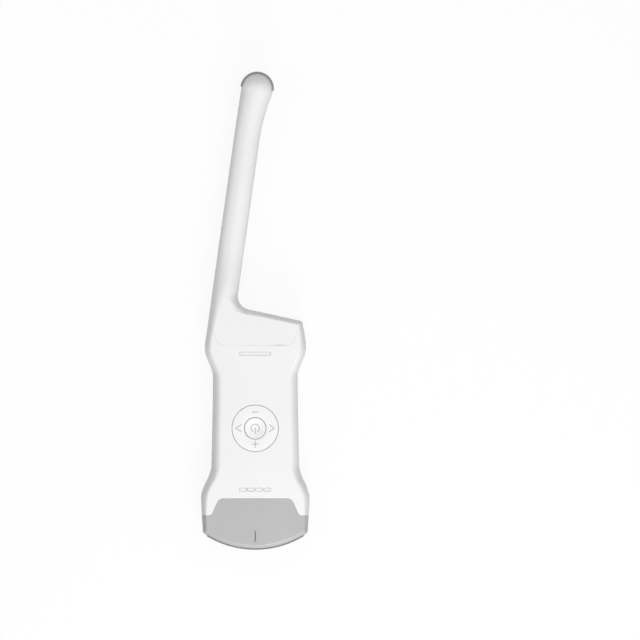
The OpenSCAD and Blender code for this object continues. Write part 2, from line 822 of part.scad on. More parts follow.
module head_frame() color("#5d6166") difference() {
    arc_band(frame_r - frame_t, frame_r - fit_gap, mid_z - wall - seat_gap, array_field);
    block([flex_w + 2 * flex_slot_gap, frame_r, flex_t + 2 * flex_slot_gap],
        [0, -lens_y - frame_r, mid_z - flex_slot_gap - flex_t / 2]);
}

flex_z = board_top_z + connector_h / 2;
flex_root_y = seat_gap - lens_y - sqrt(frame_r ^ 2 - (flex_w / 2) ^ 2);
module convex_flex() color("#c77f2a") {
    flex_strip([
        [flex_root_y, mid_z], [flex_root_y + 2 * frame_t, mid_z],
        [-board_low_y - 3 * connector_l, flex_z], [-board_low_y, flex_z]
    ], flex_w);
}

module convex_connector() color("#e8e4d8") {
    block([connector_w, connector_l, connector_h], [0, connector_l / 2 - board_low_y, board_top_z]);
}

// Turns a shape about the ball centre so that its own Y points along the neck
module at_ball() {
    p = on_neck(neck_len, ball_shift);
    translate([p.x, p.y, mid_z]) rotate([0, 0, -neck_tilt]) children();
}

module tip_lens() color("#d9dadb") at_ball() intersection() {
    difference() {
        sphere(r = ball_r);
        translate([0, 0, -ball_r]) cylinder(r = ball_r - tip_lens_t, h = ball_d);
    }
    translate([-ball_r, 0, -tip_half_z]) cube([ball_d, ball_r, 2 * tip_half_z]);
}

tip_array_r = ball_r - tip_lens_t;
tip_backing_r = tip_array_r - tip_array_t;
tip_array_z = tip_half_z - array_trim;

module tip_array() color("#b08d57") at_ball() translate([0, 0, -tip_array_z])
    rotate_extrude(angle = 180) translate([tip_backing_r, 0]) square([tip_array_t, 2 * tip_array_z]);

module tip_backing() color("#2f3133") at_ball() translate([0, 0, -tip_array_z])
    rotate_extrude(angle = 180) square([tip_backing_r, 2 * tip_array_z]);

tip_frame_r = min(neck_r, ball_left) - wall - seat_gap;
module tip_frame() color("#5d6166") difference() {
    on_neck_axis(neck_len - tip_frame_l) cylinder(r = tip_frame_r, h = tip_frame_l - fit_gap);
    on_neck_axis(neck_len - tip_frame_l - over)
        cylinder(r = cable_r + seat_gap, h = tip_frame_l + 2 * over);
}

tip_connector_at = [-5, board_high_y - connector_l];
module tip_cable() color("#3c3f42") {
    top = on_neck(neck_len);
    root = on_neck(0);
    bend = on_neck(-cable_r * 4);
    low = [tip_connector_at.x, board_high_y - connector_l / 2];
    tube([
        [top.x, top.y, mid_z], [root.x, root.y, mid_z], [bend.x, bend.y, mid_z],
        [bend.x + cable_r, bend.y - 4 * cable_r, mid_z + cable_r / 2],
        [low.x - cable_r, low.y + 6 * cable_r, flex_z + cable_r / 2],
        [low.x, low.y + 3 * cable_r, flex_z + cable_r / 2], [low.x, low.y, flex_z + cable_r / 2]
    ], cable_r);
}

module tip_connector() color("#e8e4d8") {
    block([connector_l * 3, connector_l, connector_h],
        [tip_connector_at.x, tip_connector_at.y, board_top_z]);
}

module nav_ring() color("#f2f2f2") difference() {
    union() {
        translate([0, 0, ring_low_z]) cylinder(r = ring_r, h = ring_top_z - ring_low_z);
        translate([0, 0, ring_low_z]) cylinder(r = flange_r, h = flange_t);
        for (at = dome_at) if (norm(at) > 0)
            translate([at.x, at.y, gimbal_z]) cylinder(r = nub_r, h = ring_low_z - gimbal_z + flange_t / 2);
        for (side = [-1, 1])
            block([ear_w, ear_t, ring_low_z - gimbal_z + flange_t / 2],
                [0, side * (gimbal_out_r + ear_gap + ear_t / 2), gimbal_z]);
    }
    translate([0, 0, ring_low_z - over]) cylinder(r = ring_bore_r, h = ring_top_z - ring_low_z + 2 * over);
    translate([0, 0, ring_low_z - over]) cylinder(r = ring_bore_r + button_lip, h = button_pocket_h + over);
    translate([0, gimbal_out_r + ear_gap + ear_t + over, axle_z]) rotate([90, 0, 0])
        cylinder(r = axle_r + axle_gap, h = 2 * (gimbal_out_r + ear_gap + ear_t + over));
}

module nav_gimbal() color("#7d8286") {
    difference() {
        translate([0, 0, gimbal_z]) cylinder(r = gimbal_out_r, h = gimbal_t);
        translate([0, 0, gimbal_z - over]) cylinder(r = gimbal_in_r, h = gimbal_t + 2 * over);
    }
    axle_in = (gimbal_in_r + gimbal_out_r) / 2;
    for (a = [0, 180]) rotate([0, 0, a]) translate([axle_in, 0, axle_z]) rotate([0, 90, 0])
        cylinder(r = axle_r, h = axle_post_x + post_t - axle_in);
    for (a = [90, 270]) rotate([0, 0, a]) translate([axle_in, 0, axle_z]) rotate([0, 90, 0])
        cylinder(r = axle_r, h = gimbal_out_r + ear_gap + ear_t - axle_in);
}

button_lip = 1;
button_pocket_h = 1.7;
button_dish_r = 16;
button_dish = 0.7;
button_flange_t = 0.8;
module power_button() color("#ececec") difference() {
    union() {
        translate([0, 0, ring_low_z]) cylinder(r = button_r, h = ring_top_z - ring_low_z);
        translate([0, 0, ring_low_z]) cylinder(r = ring_bore_r + button_lip - pad_gap, h = button_flange_t);
        translate([0, 0, key_top_z + dome_h + button_travel + fit_gap])
            cylinder(r = dome_r, h = ring_low_z - key_top_z - dome_h - button_travel);
    }
    translate([0, 0, ring_top_z - button_dish + button_dish_r]) sphere(r = button_dish_r);
}

module dome_switches() color("#c9ccce") {
    for (at = dome_at) translate([at.x, at.y, key_top_z]) cylinder(r = dome_r, h = dome_h);
}

mat_r = ring_r;
module keypad_mat() color("#b9bcbf") difference() {
    translate([0, 0, key_top_z]) cylinder(r = mat_r, h = mat_t);
    for (at = dome_at) translate([at.x, at.y, key_top_z - over])
        cylinder(r = dome_r + seat_gap, h = mat_t + 2 * over);
}

module key_board() color("#2e7d46") difference() {
    block([key_side, key_side, key_t], [0, 0, key_z]);
    for (at = key_post_at) translate([at.x, at.y, key_z - over])
        cylinder(r = key_screw_r + fit_gap, h = key_t + 2 * over);
}

module key_screws() color("#9aa0a6") {
    for (at = key_post_at) {
        translate([at.x, at.y, key_z - key_head_h]) cylinder(r = key_head_r, h = key_head_h);
        translate([at.x, at.y, key_z]) cylinder(r = key_screw_r, h = key_screw_l);
    }
}

key_connector_l = 3;
key_connector_w = 9;
key_connector_h = 1;
key_connector_y = -key_side / 2 - 2 * key_connector_l;
module key_flex() color("#c77f2a") {
    start_z = key_z - flex_t / 2;
    end_z = board_top_z + key_connector_h / 2;
    flex_strip([
        [key_connector_l - key_side / 2, start_z], [0 - key_side / 2, start_z],
        [key_connector_y + key_connector_l * 3 / 2, end_z],
        [key_connector_y + key_connector_l / 2, end_z]
    ], key_connector_w - 2 * seat_gap);
}

module key_connector() color("#e8e4d8") {
    block([key_connector_w, key_connector_l, key_connector_h], [0, key_connector_y, board_top_z]);
}

module status_window() color("#e3e5e6") translate([0, status_y, inner_z])
    stadium_plate(status_l, window_w, wall - window_sink);

module gauge_windows() color("#e3e5e6") {
    for (x = gauge_xs) translate([x, -gauge_y, inner_z])
        stadium_plate(gauge_l, window_w, wall - window_sink);
}

module led_boards() color("#2e7d46") {
    for (y = led_rows_y) block([led_board_l, led_board_w, led_board_t], [0, y, led_board_z]);
}

module indicator_leds() color("#f5f0d8") {
    for (y = led_rows_y, x = led_xs)
        block([led_side, led_side, led_h], [x, y, led_board_z + led_board_t]);
}

module main_board() color("#2e7d46") difference() {
    translate([-board_w / 2, -board_low_y, board_z]) cube([board_w, board_low_y + board_high_y, board_t]);
    for (at = board_post_at) translate([at.x, at.y, board_z - over])
        cylinder(r = board_screw_r + fit_gap, h = board_t + 2 * over);
}

module board_screws() color("#9aa0a6") {
    for (at = board_post_at) {
        translate([at.x, at.y, board_top_z]) cylinder(r = board_head_r, h = board_head_h);
        translate([at.x, at.y, board_top_z - board_screw_l]) cylinder(r = board_screw_r, h = board_screw_l);
    }
}

processor_side = 13;
processor_y = 25;
chip_h = 0.9;
module processor() color("#26292c") {
    block([processor_side, processor_side, chip_h], [0, processor_y, board_top_z]);
}

beam_chip_side = 7;
beam_chip_pitch = 10;
module beamformer_chips() color("#26292c") {
    for (x = [-1, 1], y = [-1, 1])
        block([beam_chip_side, beam_chip_side, chip_h],
            [x * beam_chip_pitch / 2, y * beam_chip_pitch / 2, board_top_z]);
}

memory_l = 8;
memory_w = 5;
module memory_chips() color("#26292c") {
    for (x = [-1, 1])
        block([memory_w, memory_l, chip_h], [x * (processor_side / 2 + memory_w), processor_y, board_top_z]);
}

radio_l = 10;
radio_w = 8;
radio_h = 2;
radio_at = [7, 36];
module radio_module() color("#c9ccce") {
    block([radio_l, radio_w, radio_h], [radio_at.x, radio_at.y, board_top_z]);
}

antenna_size = [7, 2, 1.2];
module antenna() color("#d8cdb0") {
    block(antenna_size, [radio_at.x, board_high_y - antenna_size.y / 2, board_top_z]);
}

inductor_side = 5;
inductor_h = 2;
inductor_at = [10, -22.5];
module power_inductor() color("#6a6d70") {
    block([inductor_side, inductor_side, inductor_h], [inductor_at.x, inductor_at.y, board_top_z]);
}

pad_l = 12;
low_pad_t = 0.6;
battery_z = wall + low_pad_t;
battery_y = 4;
battery_top_z = battery_z + battery_t;
battery_low_y = battery_y - battery_l / 2;
module battery_pack() color("#3f6fa8") {
    block([battery_w, battery_l, battery_t], [0, battery_y, battery_z]);
}

module battery_pads() color("#4a4d50") {
    for (side = [-1, 1]) {
        y = battery_y + side * (battery_l / 2 - pad_l);
        block([battery_w / 2, pad_l, low_pad_t], [0, y, wall]);
        block([battery_w / 2, pad_l, board_z - battery_top_z], [0, y, battery_top_z]);
    }
}

lead_r = 0.7;
lead_x = 6;
lead_y = -board_low_y + 2;
module battery_lead() color("#b03030") {
    exit_z = battery_z + battery_t / 2;
    tube([
        [lead_x, battery_low_y, exit_z], [lead_x, battery_low_y - 2 * lead_r, exit_z],
        [lead_x, lead_y + lead_r, exit_z + 2 * lead_r], [lead_x, lead_y, exit_z + 4 * lead_r],
        [lead_x, lead_y, board_z]
    ], lead_r);
}

port_board_z = mid_z - port_h / 2 - port_board_t;
module port_board() color("#2e7d46") {
    translate([port_board_x, -port_y - port_board_w / 2, port_board_z])
        cube([port_board_l, port_board_w, port_board_t]);
}

module charge_port() color("#c9ccce") {
    low_z = mid_z - port_h / 2;
    difference() {
        translate([port_x, -port_y - port_w / 2, low_z]) cube([port_l, port_w, port_h]);
        translate([port_x + port_l - port_tongue_l, -port_y - port_w / 2 + port_lip, low_z + port_lip])
            cube([port_tongue_l + over, port_w - 2 * port_lip, port_h - 2 * port_lip]);
    }
    translate([port_x + port_lip, -port_y - port_w / 3, mid_z - port_tongue_t / 2])
        cube([port_l - 2 * port_lip, port_w * 2 / 3, port_tongue_t]);
}

port_lead_r = 0.55;
module port_cable() color("#3c3f42") {
    start = [port_board_x, -port_y + port_post_spread, port_board_z + port_board_t / 2];
    end = [board_w / 2 - 2 * seat_gap - port_lead_r, -board_low_y, board_z + board_t / 2];
    step = 4 * port_lead_r;
    tube([
        start, start - [step, 0, 0], [end.x, end.y - 2 * step, (start.z + end.z) / 2],
        end - [0, step, 0], end
    ], port_lead_r);
}

module port_plug() color("#ededed") intersection() {
    whole_form(bell_i - 1, bell_i + 1);
    translate([flank_x - plug_t - nick_sink, -port_y, mid_z]) rotate([90, 0, 90])
        stadium_plate(plug_l, plug_w, plug_t + over);
}

front_shell();
back_shell();
neck_front_shell();
neck_back_shell();
nose_housing();
body_gasket();
neck_gasket();
case_screws();
screw_plugs();
midline_mark();
convex_lens();
convex_array();
convex_backing();
head_frame();
convex_flex();
convex_connector();
tip_lens();
tip_array();
tip_backing();
tip_frame();
tip_cable();
tip_connector();
nav_ring();
nav_gimbal();
power_button();
dome_switches();
keypad_mat();
key_board();
key_screws();
key_flex();
key_connector();
status_window();
gauge_windows();
led_boards();
indicator_leds();
main_board();
board_screws();
processor();
beamformer_chips();
memory_chips();
radio_module();
antenna();
power_inductor();
battery_pack();
battery_pads();
battery_lead();
charge_port();
port_board();
port_cable();
port_plug();
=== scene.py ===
# %% [markdown]
# # A handheld ultrasound scanner
# The real object is a wireless scanner with two heads. Its casing is moulded in white
# plastic, the wide head's housing in grey, and it lies on its flat back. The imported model
# gives the places of all pieces, and this lesson gives the pieces that show their final
# forms and finishes.

# %% Load the frame
import math

import bmesh
import bpy
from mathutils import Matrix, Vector


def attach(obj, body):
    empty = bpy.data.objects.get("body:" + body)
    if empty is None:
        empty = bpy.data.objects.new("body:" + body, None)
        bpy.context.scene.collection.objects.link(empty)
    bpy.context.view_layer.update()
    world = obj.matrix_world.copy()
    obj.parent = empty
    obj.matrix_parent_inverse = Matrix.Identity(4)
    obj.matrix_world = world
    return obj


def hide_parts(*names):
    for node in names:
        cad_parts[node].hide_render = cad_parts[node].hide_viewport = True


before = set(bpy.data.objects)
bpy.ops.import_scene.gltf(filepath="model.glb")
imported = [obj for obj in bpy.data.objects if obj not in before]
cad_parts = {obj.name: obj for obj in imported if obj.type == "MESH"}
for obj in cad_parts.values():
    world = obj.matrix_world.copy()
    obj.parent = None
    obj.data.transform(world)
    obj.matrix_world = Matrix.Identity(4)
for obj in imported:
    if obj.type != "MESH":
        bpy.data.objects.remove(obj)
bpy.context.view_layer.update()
MM = 0.001

# %% [markdown]
# ## Camera
# The photograph looks straight down on the front face. A long lens far away keeps the
# sides of the casing hidden, as they are in a catalogue picture.

# %% Camera
PHOTO_W = 409.6
VIEW_AT = (41.42, 69.2, 12.0)
lens_data = bpy.data.cameras.new("camera")
lens_data.lens = 800
lens_data.sensor_width = 36
lens_data.clip_end = 30
camera = bpy.data.objects.new("camera", lens_data)
camera.location = [c * MM for c in VIEW_AT]
camera.location.z += PHOTO_W * MM * lens_data.lens / lens_data.sensor_width
bpy.context.collection.objects.link(camera)
bpy.context.scene.camera = camera
bpy.context.scene.view_settings.view_transform = "Standard"
print("camera height", round(camera.location.z, 3))

# %% [markdown]
# ## Outline of the casing
# The casing is one smooth form that is cut into pieces along its seams. Its outline could
# be drawn as one curve, but here it is a stack of rows from the wide head to the ball. Each
# row joins a point of the left outline to one of the right outline, so that the waist, the
# shoulder and the leaning neck flow into each other without a break.

# %% Values of the casing, in millimetres
MID_Z = 12.0
WALL = 2.0
GASKET_T = 0.3
EDGE_W = 4.5
SHOULDER_EDGE_W = 3.2
SHOULDER_Y = 50.9
SHOULDER_HALF = 32.45
ARC_Y = -17.9
LENS_R = 60.0
NOSE_R = 59.5
NOSE_EDGE_W = 2.9
NOSE_HALF = 33.6
NOSE_CORNER_R = 2.5
LENS_HALF_A = 31.2
NECK_R = 8.25
NECK_TILT = math.radians(8)
NECK_ROOT = Vector((-19.9, 82.3))
NECK_LEN = 136.7
BALL_R = 10.79
BALL_CASE_R = 10.3
BALL_SHIFT = 2.06
CORNER = Vector((30.2, 68.5))
CORNER_R = 2.7
SLOPE = math.radians(12.2)
NECK_FILLET_R = 8.8
ALONG = Vector((math.sin(NECK_TILT), math.cos(NECK_TILT)))
ACROSS = Vector((math.cos(NECK_TILT), -math.sin(NECK_TILT)))
print("the neck leans", round(math.degrees(NECK_TILT), 1), "degrees")

# %% [markdown]
# Two curves draw the whole outline. A smooth curve through a few known points gives the
# flanks and the widths of the rounded edges, and an arc that rounds a corner gives the
# shoulder's end, the bend to the neck and the corners of the seams.

# %% Curves through known points
def cross(a, b):
    return a.x * b.y - a.y * b.x


def smooth(knots, x):
    """A smooth curve through knots (x, y) that never overshoots them."""
    xs, ys = zip(*knots)
    if x <= xs[0]:
        return ys[0]
    if x >= xs[-1]:
        return ys[-1]
    rise = [(ys[i + 1] - ys[i]) / (xs[i + 1] - xs[i]) for i in range(len(xs) - 1)]
    slope = [rise[0]] + [
        0 if a * b <= 0 else 2 * a * b / (a + b) for a, b in zip(rise, rise[1:])
    ] + [rise[-1]]
    i = max(k for k in range(len(xs) - 1) if xs[k] <= x)
    w = xs[i + 1] - xs[i]
    t = (x - xs[i]) / w
    return (
        ys[i] * (1 + 2 * t) * (1 - t) ** 2 + ys[i + 1] * t * t * (3 - 2 * t)
        + w * slope[i] * t * (1 - t) ** 2 - w * slope[i + 1] * t * t * (1 - t)
    )


def fillet(a, v, b, r, steps):
    """Points of the arc of radius r that rounds the corner at v between a and b."""
    da, db = (a - v).normalized(), (b - v).normalized()
    half = math.acos(da.dot(db)) / 2
    centre = v + (da + db).normalized() * r / math.sin(half)
    start = v + da * r / math.tan(half) - centre
    turn = (math.pi - 2 * half) * math.copysign(1, cross(v - a, b - v))
    arc = []
    for i in range(steps + 1):
        c, s = math.cos(turn * i / steps), math.sin(turn * i / steps)
        arc.append(centre + Vector((start.x * c - start.y * s, start.x * s + start.y * c)))
    return arc, centre


def on_neck(s, side=0.0):
    return NECK_ROOT + ALONG * s + ACROSS * side


# %% [markdown]
# The rows come in four groups. The first two are the arc of the wide head with its corners,
# and the flanks of the handle, which are the same on both sides. A row holds the edge and
# the start of the level face on the left, the same on the right, and the face's height.

# %% Rows of the wide head and the handle
def even_row(edge, face, height=MID_Z):
    return [Vector((-edge.x, edge.y)), Vector((-face.x, face.y)), edge, face, height]


def on_arc(r, a):
    return Vector((r * math.sin(a), ARC_Y - r * math.cos(a)))


def inset_corner(r):
    return Vector((NOSE_HALF - r, ARC_Y - math.sqrt((NOSE_R - r) ** 2 - (NOSE_HALF - r) ** 2)))


nose_corner = inset_corner(NOSE_CORNER_R)
corner_a = math.asin(nose_corner.x / (NOSE_R - NOSE_CORNER_R))
nose_face = inset_corner(NOSE_EDGE_W)
face_a = math.asin(nose_face.x / (NOSE_R - NOSE_EDGE_W))
rows = []
for i in range(36):
    share = i / 36
    edge = on_arc(NOSE_R, corner_a * share)
    rows.append(even_row(edge, on_arc(NOSE_R - NOSE_EDGE_W, face_a * share)))
for i in range(9):
    a = corner_a + (math.pi / 2 - corner_a) * i / 8
    edge = nose_corner + NOSE_CORNER_R * Vector((math.sin(a), -math.cos(a)))
    rows.append(even_row(edge, nose_face))
nose_rows = len(rows)

FLANK = [
    (nose_corner.y, NOSE_HALF), (-44.4, 34.7), (-41.0, 34.18), (-37.1, 32.8), (-29.3, 29.3),
    (-24.3, 28.15), (0, 27.6), (20, 27.2), (33.9, 27.15), (39.5, 28.75), (47.2, 31.75),
    (SHOULDER_Y, SHOULDER_HALF),
]
EDGE_WIDTHS = [
    (nose_corner.y, NOSE_EDGE_W), (-58, 3.2), (-46, EDGE_W), (-39.6, 5.2), (-31, 6.0),
    (-23, 6.3), (0, 6.0), (31, 5.8), (42, 5.0), (51, EDGE_W),
]
FLANK_STEP = 1.2
flank_ys = [nose_corner.y + FLANK_STEP * i for i in range(1, 95)]
for y in flank_ys + [SHOULDER_Y]:
    half = smooth(FLANK, y)
    rows.append(even_row(Vector((half, y)), Vector((half - smooth(EDGE_WIDTHS, y), y))))
flank_rows = len(rows)
print("rows up to the shoulder", flank_rows)

# %% [markdown]
# The shoulder is lopsided: its right end is a sharp corner, from which the top slopes down
# to the bend at the neck, while its left side runs straight on into the neck. So each point
# of the right outline is paired with a share of the way up the left side. The face stays
# level through the bend.

# %% Rows of the shoulder
shoulder_right = Vector((SHOULDER_HALF, SHOULDER_Y))
top_edge = Vector((-math.cos(SLOPE), math.sin(SLOPE)))
neck_side = on_neck(0, NECK_R)
valley = neck_side + ALONG * cross(CORNER - neck_side, top_edge) / cross(ALONG, top_edge)
neck_far = on_neck(NECK_LEN, NECK_R)
valley_arc, valley_centre = fillet(CORNER, valley, neck_far, NECK_FILLET_R, 20)
neck_start = (valley_arc[-1] - NECK_ROOT).dot(ALONG)
left_end = on_neck(neck_start, -NECK_R)
corner_arc, _ = fillet(shoulder_right, CORNER, valley, CORNER_R, 8)
_, corner_face = fillet(shoulder_right, CORNER, valley, SHOULDER_EDGE_W, 8)

RIGHT_SIDE = [(SHOULDER_Y, SHOULDER_HALF), (54.5, 32.3), (58.9, 31.75),
              (corner_arc[0].y, corner_arc[0].x)]
LEFT_SIDE = [(SHOULDER_Y, -SHOULDER_HALF), (54.5, -32.15), (58.9, -31.5), (66.6, -30.35),
             (left_end.y, left_end.x)]
CORNER_FROM = 0.42
SLOPE_FROM = 0.57
BEND_FROM = 0.76
LEFT_WIDTHS = [(0, EDGE_W), (0.2, EDGE_W), (1, NECK_R)]
RIGHT_WIDTHS = [(BEND_FROM, SHOULDER_EDGE_W), (0.85, 4.0), (0.92, 5.4), (0.97, 7.2), (1, NECK_R)]
slope_out = Vector((math.sin(SLOPE), math.cos(SLOPE)))


def left_point(share):
    y = SHOULDER_Y + (left_end.y - SHOULDER_Y) * share
    return Vector((smooth(LEFT_SIDE, y), y))


def top_row(share, edge, face):
    left = left_point(share)
    inward = ACROSS * share + Vector((1 - share, 0))
    return [left, left + inward * smooth(LEFT_WIDTHS, share), edge, face, MID_Z]


for i in range(1, 14):
    y = SHOULDER_Y + (corner_arc[0].y - SHOULDER_Y) * i / 14
    edge = Vector((smooth(RIGHT_SIDE, y), y))
    width = EDGE_W + (SHOULDER_EDGE_W - EDGE_W) * i / 14
    rows.append(top_row(CORNER_FROM * i / 14, edge, edge - Vector((width, 0))))
for i in range(9):
    share = CORNER_FROM + (SLOPE_FROM - CORNER_FROM) * i / 8
    rows.append(top_row(share, corner_arc[i], corner_face))
for i in range(1, 12):
    share = SLOPE_FROM + (BEND_FROM - SLOPE_FROM) * i / 12
    edge = corner_arc[-1].lerp(valley_arc[0], i / 12)
    rows.append(top_row(share, edge, edge - SHOULDER_EDGE_W * slope_out))
for i in range(21):
    share = BEND_FROM + (1 - BEND_FROM) * i / 20
    away = (valley_arc[i] - valley_centre).normalized()
    rows.append(top_row(share, valley_arc[i], valley_arc[i] + away * smooth(RIGHT_WIDTHS, share)))
print("rows up to the neck", len(rows))

# %% [markdown]
# The neck is round and straight. Its first part still falls from the height of the face, so
# that the bend looks like one sweep, and its last part flares into the ball. The lens covers
# the ball's end, and the two halves of the ball stand a little apart for it.


# %% Rows of the neck and the ball
def neck_row(s, left, right):
    return [on_neck(s, -left), on_neck(s, (right - left) / 2), on_neck(s, right),
            on_neck(s, (right - left) / 2), (left + right) / 2]


SETTLE_L = 32.0
SETTLE = [(0, MID_Z), (3, 11.7), (12, 10.2), (24, 8.6), (SETTLE_L, NECK_R)]
for i in range(1, 23):
    along = SETTLE_L * i / 22
    row = neck_row(neck_start + along, NECK_R, NECK_R)
    row[4] = smooth(SETTLE, along)
    rows.append(row)
FLARE_A = math.radians(14)
ball_left = BALL_CASE_R * math.cos(FLARE_A) - BALL_SHIFT
ball_right = BALL_CASE_R * math.cos(FLARE_A) + BALL_SHIFT
flare_end = NECK_LEN - BALL_CASE_R * math.sin(FLARE_A)
flare_l = 2 * (ball_right - NECK_R) / math.tan(FLARE_A)
straight_from = neck_start + SETTLE_L
straight_l = flare_end - flare_l - straight_from
for i in range(1, 13):
    rows.append(neck_row(straight_from + straight_l * i / 13, NECK_R, NECK_R))
for i in range(13):
    t = i / 12
    left, right = (NECK_R + (r - NECK_R) * t * t for r in (ball_left, ball_right))
    rows.append(neck_row(flare_end + (t - 1) * flare_l, left, right))
ball_from = len(rows)
BALL_STEPS = 18
row_count = ball_from + BALL_STEPS + 1
print("rows in all", row_count)

# %% [markdown]
# Across each row the surface starts at the left edge, rises through a quarter of an ellipse
# to the face, runs level to the other side and comes down again. The inner face of the wall
# is the same form moved in, so a wall is a closed skin between two such surfaces.

# %% Sections and skins
RIB_STEPS = 14
FACE_STEPS = 12
FULLNESS = [(nose_rows - 8, 1.0), (nose_rows + 14, 1.07), (flank_rows - 4, 1.07),
            (flank_rows + 16, 1.0)]


def inset_row(i, depth):
    if i >= ball_from:
        r = BALL_CASE_R - depth
        a = -FLARE_A + (math.pi / 2 + FLARE_A) * (i - ball_from) / BALL_STEPS
        across = r * math.cos(a)
        return neck_row(NECK_LEN + r * math.sin(a), across - BALL_SHIFT, across + BALL_SHIFT)
    left, left_face, right, right_face, height = rows[i]
    return [left + depth * (left_face - left).normalized(), left_face,
            right + depth * (right_face - right).normalized(), right_face, height - depth]


def half_section(i, depth, low):
    left, left_face, right, right_face, height = inset_row(i, depth)
    full = smooth(FULLNESS, i)
    start = math.asin((low / height) ** (1 / full)) if height > low else math.pi / 2
    angles = [start + (math.pi / 2 - start) * k / RIB_STEPS for k in range(RIB_STEPS + 1)]

    def rib(edge, face, a):
        p = edge + (face - edge) * (1 - max(0.0, math.cos(a)) ** full)
        return (p.x, p.y, max(height * math.sin(a) ** full, low))

    points = [rib(left, left_face, a) for a in angles]
    for k in range(1, FACE_STEPS):
        p = left_face.lerp(right_face, k / FACE_STEPS)
        points.append((p.x, p.y, max(height, low)))
    return points + [rib(right, right_face, a) for a in reversed(angles)]


def new_piece(name, mesh):
    piece = bpy.data.objects.new(name, mesh)
    bpy.context.collection.objects.link(piece)
    return piece


def from_points(name, points, faces):
    """A closed piece from points in millimetres, with equal points joined."""
    mesh = bpy.data.meshes.new(name)
    mesh.from_pydata([[c * MM for c in p] for p in points], [], faces)
    b = bmesh.new()
    b.from_mesh(mesh)
    bmesh.ops.remove_doubles(b, verts=b.verts, dist=2e-6)
    bmesh.ops.dissolve_degenerate(b, edges=b.edges, dist=1e-7)
    bmesh.ops.recalc_face_normals(b, faces=b.faces)
    b.to_mesh(mesh)
    b.free()
    return new_piece(name, mesh)


def ring_faces(rings, closed_ends=True):
    """Faces between rings of points of one length."""
    n = len(rings[0])
    faces = []
    for i in range(len(rings) - 1):
        for k in range(n):
            a, b = i * n + k, i * n + (k + 1) % n
            faces.append((a, a + n, b + n, b))
    if closed_ends:
        faces.append(tuple(range(n)))
        faces.append(tuple((len(rings) - 1) * n + k for k in reversed(range(n))))
    return faces


def from_rings(name, *stacks):
    """A piece of one or more closed forms, each a stack of rings."""
    points, faces = [], []
    for rings in stacks:
        offset = len(points)
        points += [p for ring in rings for p in ring]
        faces += [tuple(k + offset for k in face) for face in ring_faces(rings)]
    return from_points(name, points, faces)


def skin(name, upper, lower, facing=1, pole=False):
    """A closed wall between two surfaces of rows. A first row that is a pole needs no end."""
    n = len(upper[0])
    rings = [u + list(reversed(l)) for u, l in zip(upper, lower)]
    points = [(x, y, MID_Z + facing * z) for ring in rings for x, y, z in ring]
    faces = ring_faces(rings, False)
    last = (len(rings) - 1) * 2 * n
    for k in range(n - 1):
        if not pole:
            faces.append((k, k + 1, 2 * n - 2 - k, 2 * n - 1 - k))
        faces.append((last + k, last + 2 * n - 1 - k, last + 2 * n - 2 - k, last + k + 1))
    return from_points(name, points, faces)


def half_casing(name, start, end, facing):
    low = GASKET_T / 2
    return skin(name, [half_section(i, 0, low) for i in range(start, end)],
                [half_section(i, WALL, low) for i in range(start, end)], facing)


def whole_form(name, start, end, depth=0.0):
    upper = [half_section(i, depth, 0.0) for i in range(start, end)]
    return skin(name, upper, [[(x, y, -z) for x, y, z in r] for r in upper], 1, start == 0)


# %% [markdown]
# ## Cutting pieces from the form
# The seams are straight cuts through the form, so each piece is the form minus or times a
# prism. A boolean does that exactly. A narrow bevel then breaks every cut edge, because
# moulded edges are never sharp, and weighted normals keep the large faces flat.

# %% Cuts, bevels and shading
def cut(piece, tool, how="DIFFERENCE"):
    before = len(piece.data.polygons)
    step = piece.modifiers.new(how.lower(), "BOOLEAN")
    step.operation = how
    step.object = tool
    step.solver = "MANIFOLD"
    apply_all(piece)
    bpy.data.objects.remove(tool)
    if len(piece.data.polygons) == before:
        print("this cut changed nothing:", piece.name, how)


def apply_all(piece):
    shaped = bpy.data.meshes.new_from_object(
        piece.evaluated_get(bpy.context.evaluated_depsgraph_get()))
    piece.modifiers.clear()
    piece.data = shaped


def prism(outline, low, high, flare=0.0, flare_at=0.0):
    """A straight cutter through outline, which opens by flare just below flare_at."""
    levels = [(low, 0.0)]
    if flare:
        start = flare_at - flare
        levels.append((start, 0.0))
        for a in (math.radians(30), math.radians(60), math.radians(90)):
            levels.append((start + flare * math.sin(a), flare * (1 - math.cos(a))))
    levels.append((high, flare))
    middle = sum(outline, Vector((0, 0))) / len(outline)
    rings = []
    for z, grow in levels:
        rings.append([tuple(p + grow * (p - middle).normalized()) + (z,) for p in outline])
    return from_rings("cutter", rings)


def shade(piece):
    """Shades the curved faces smooth and keeps the flat faces flat."""
    piece.data.shade_smooth()
    piece.data.set_sharp_from_angle(angle=math.radians(60))
    normals = piece.modifiers.new("normals", "WEIGHTED_NORMAL")
    normals.keep_sharp = True
    normals.weight = 80


def soften(piece, width):
    """Clears the tiny edges that cuts leave, breaks the sharp edges and shades the piece."""
    b = bmesh.new()
    b.from_mesh(piece.data)
    bmesh.ops.remove_doubles(b, verts=b.verts, dist=0.02 * MM)
    bmesh.ops.dissolve_degenerate(b, edges=b.edges, dist=0.01 * MM)
    b.to_mesh(piece.data)
    b.free()
    edge = piece.modifiers.new("edge", "BEVEL")
    edge.width = width * MM
    edge.segments = 2
    edge.limit_method = "ANGLE"
    edge.angle_limit = math.radians(40)
    edge.use_clamp_overlap = False
    apply_all(piece)
    shade(piece)


def circle(r, at=(0, 0), steps=96):
    turns = [math.tau * k / steps for k in range(steps)]
    return [Vector((at[0] + r * math.cos(a), at[1] + r * math.sin(a))) for a in turns]


def stadium(length, width, at=(0, 0), steps=12):
    r, half = width / 2, (length - width) / 2
    points = []
    for side, first in ((1, -90), (-1, 90)):
        for i in range(steps + 1):
            a = math.radians(first + 180 * i / steps)
            points.append(Vector((at[0] + side * half + r * math.cos(a), at[1] + r * math.sin(a))))
    return points


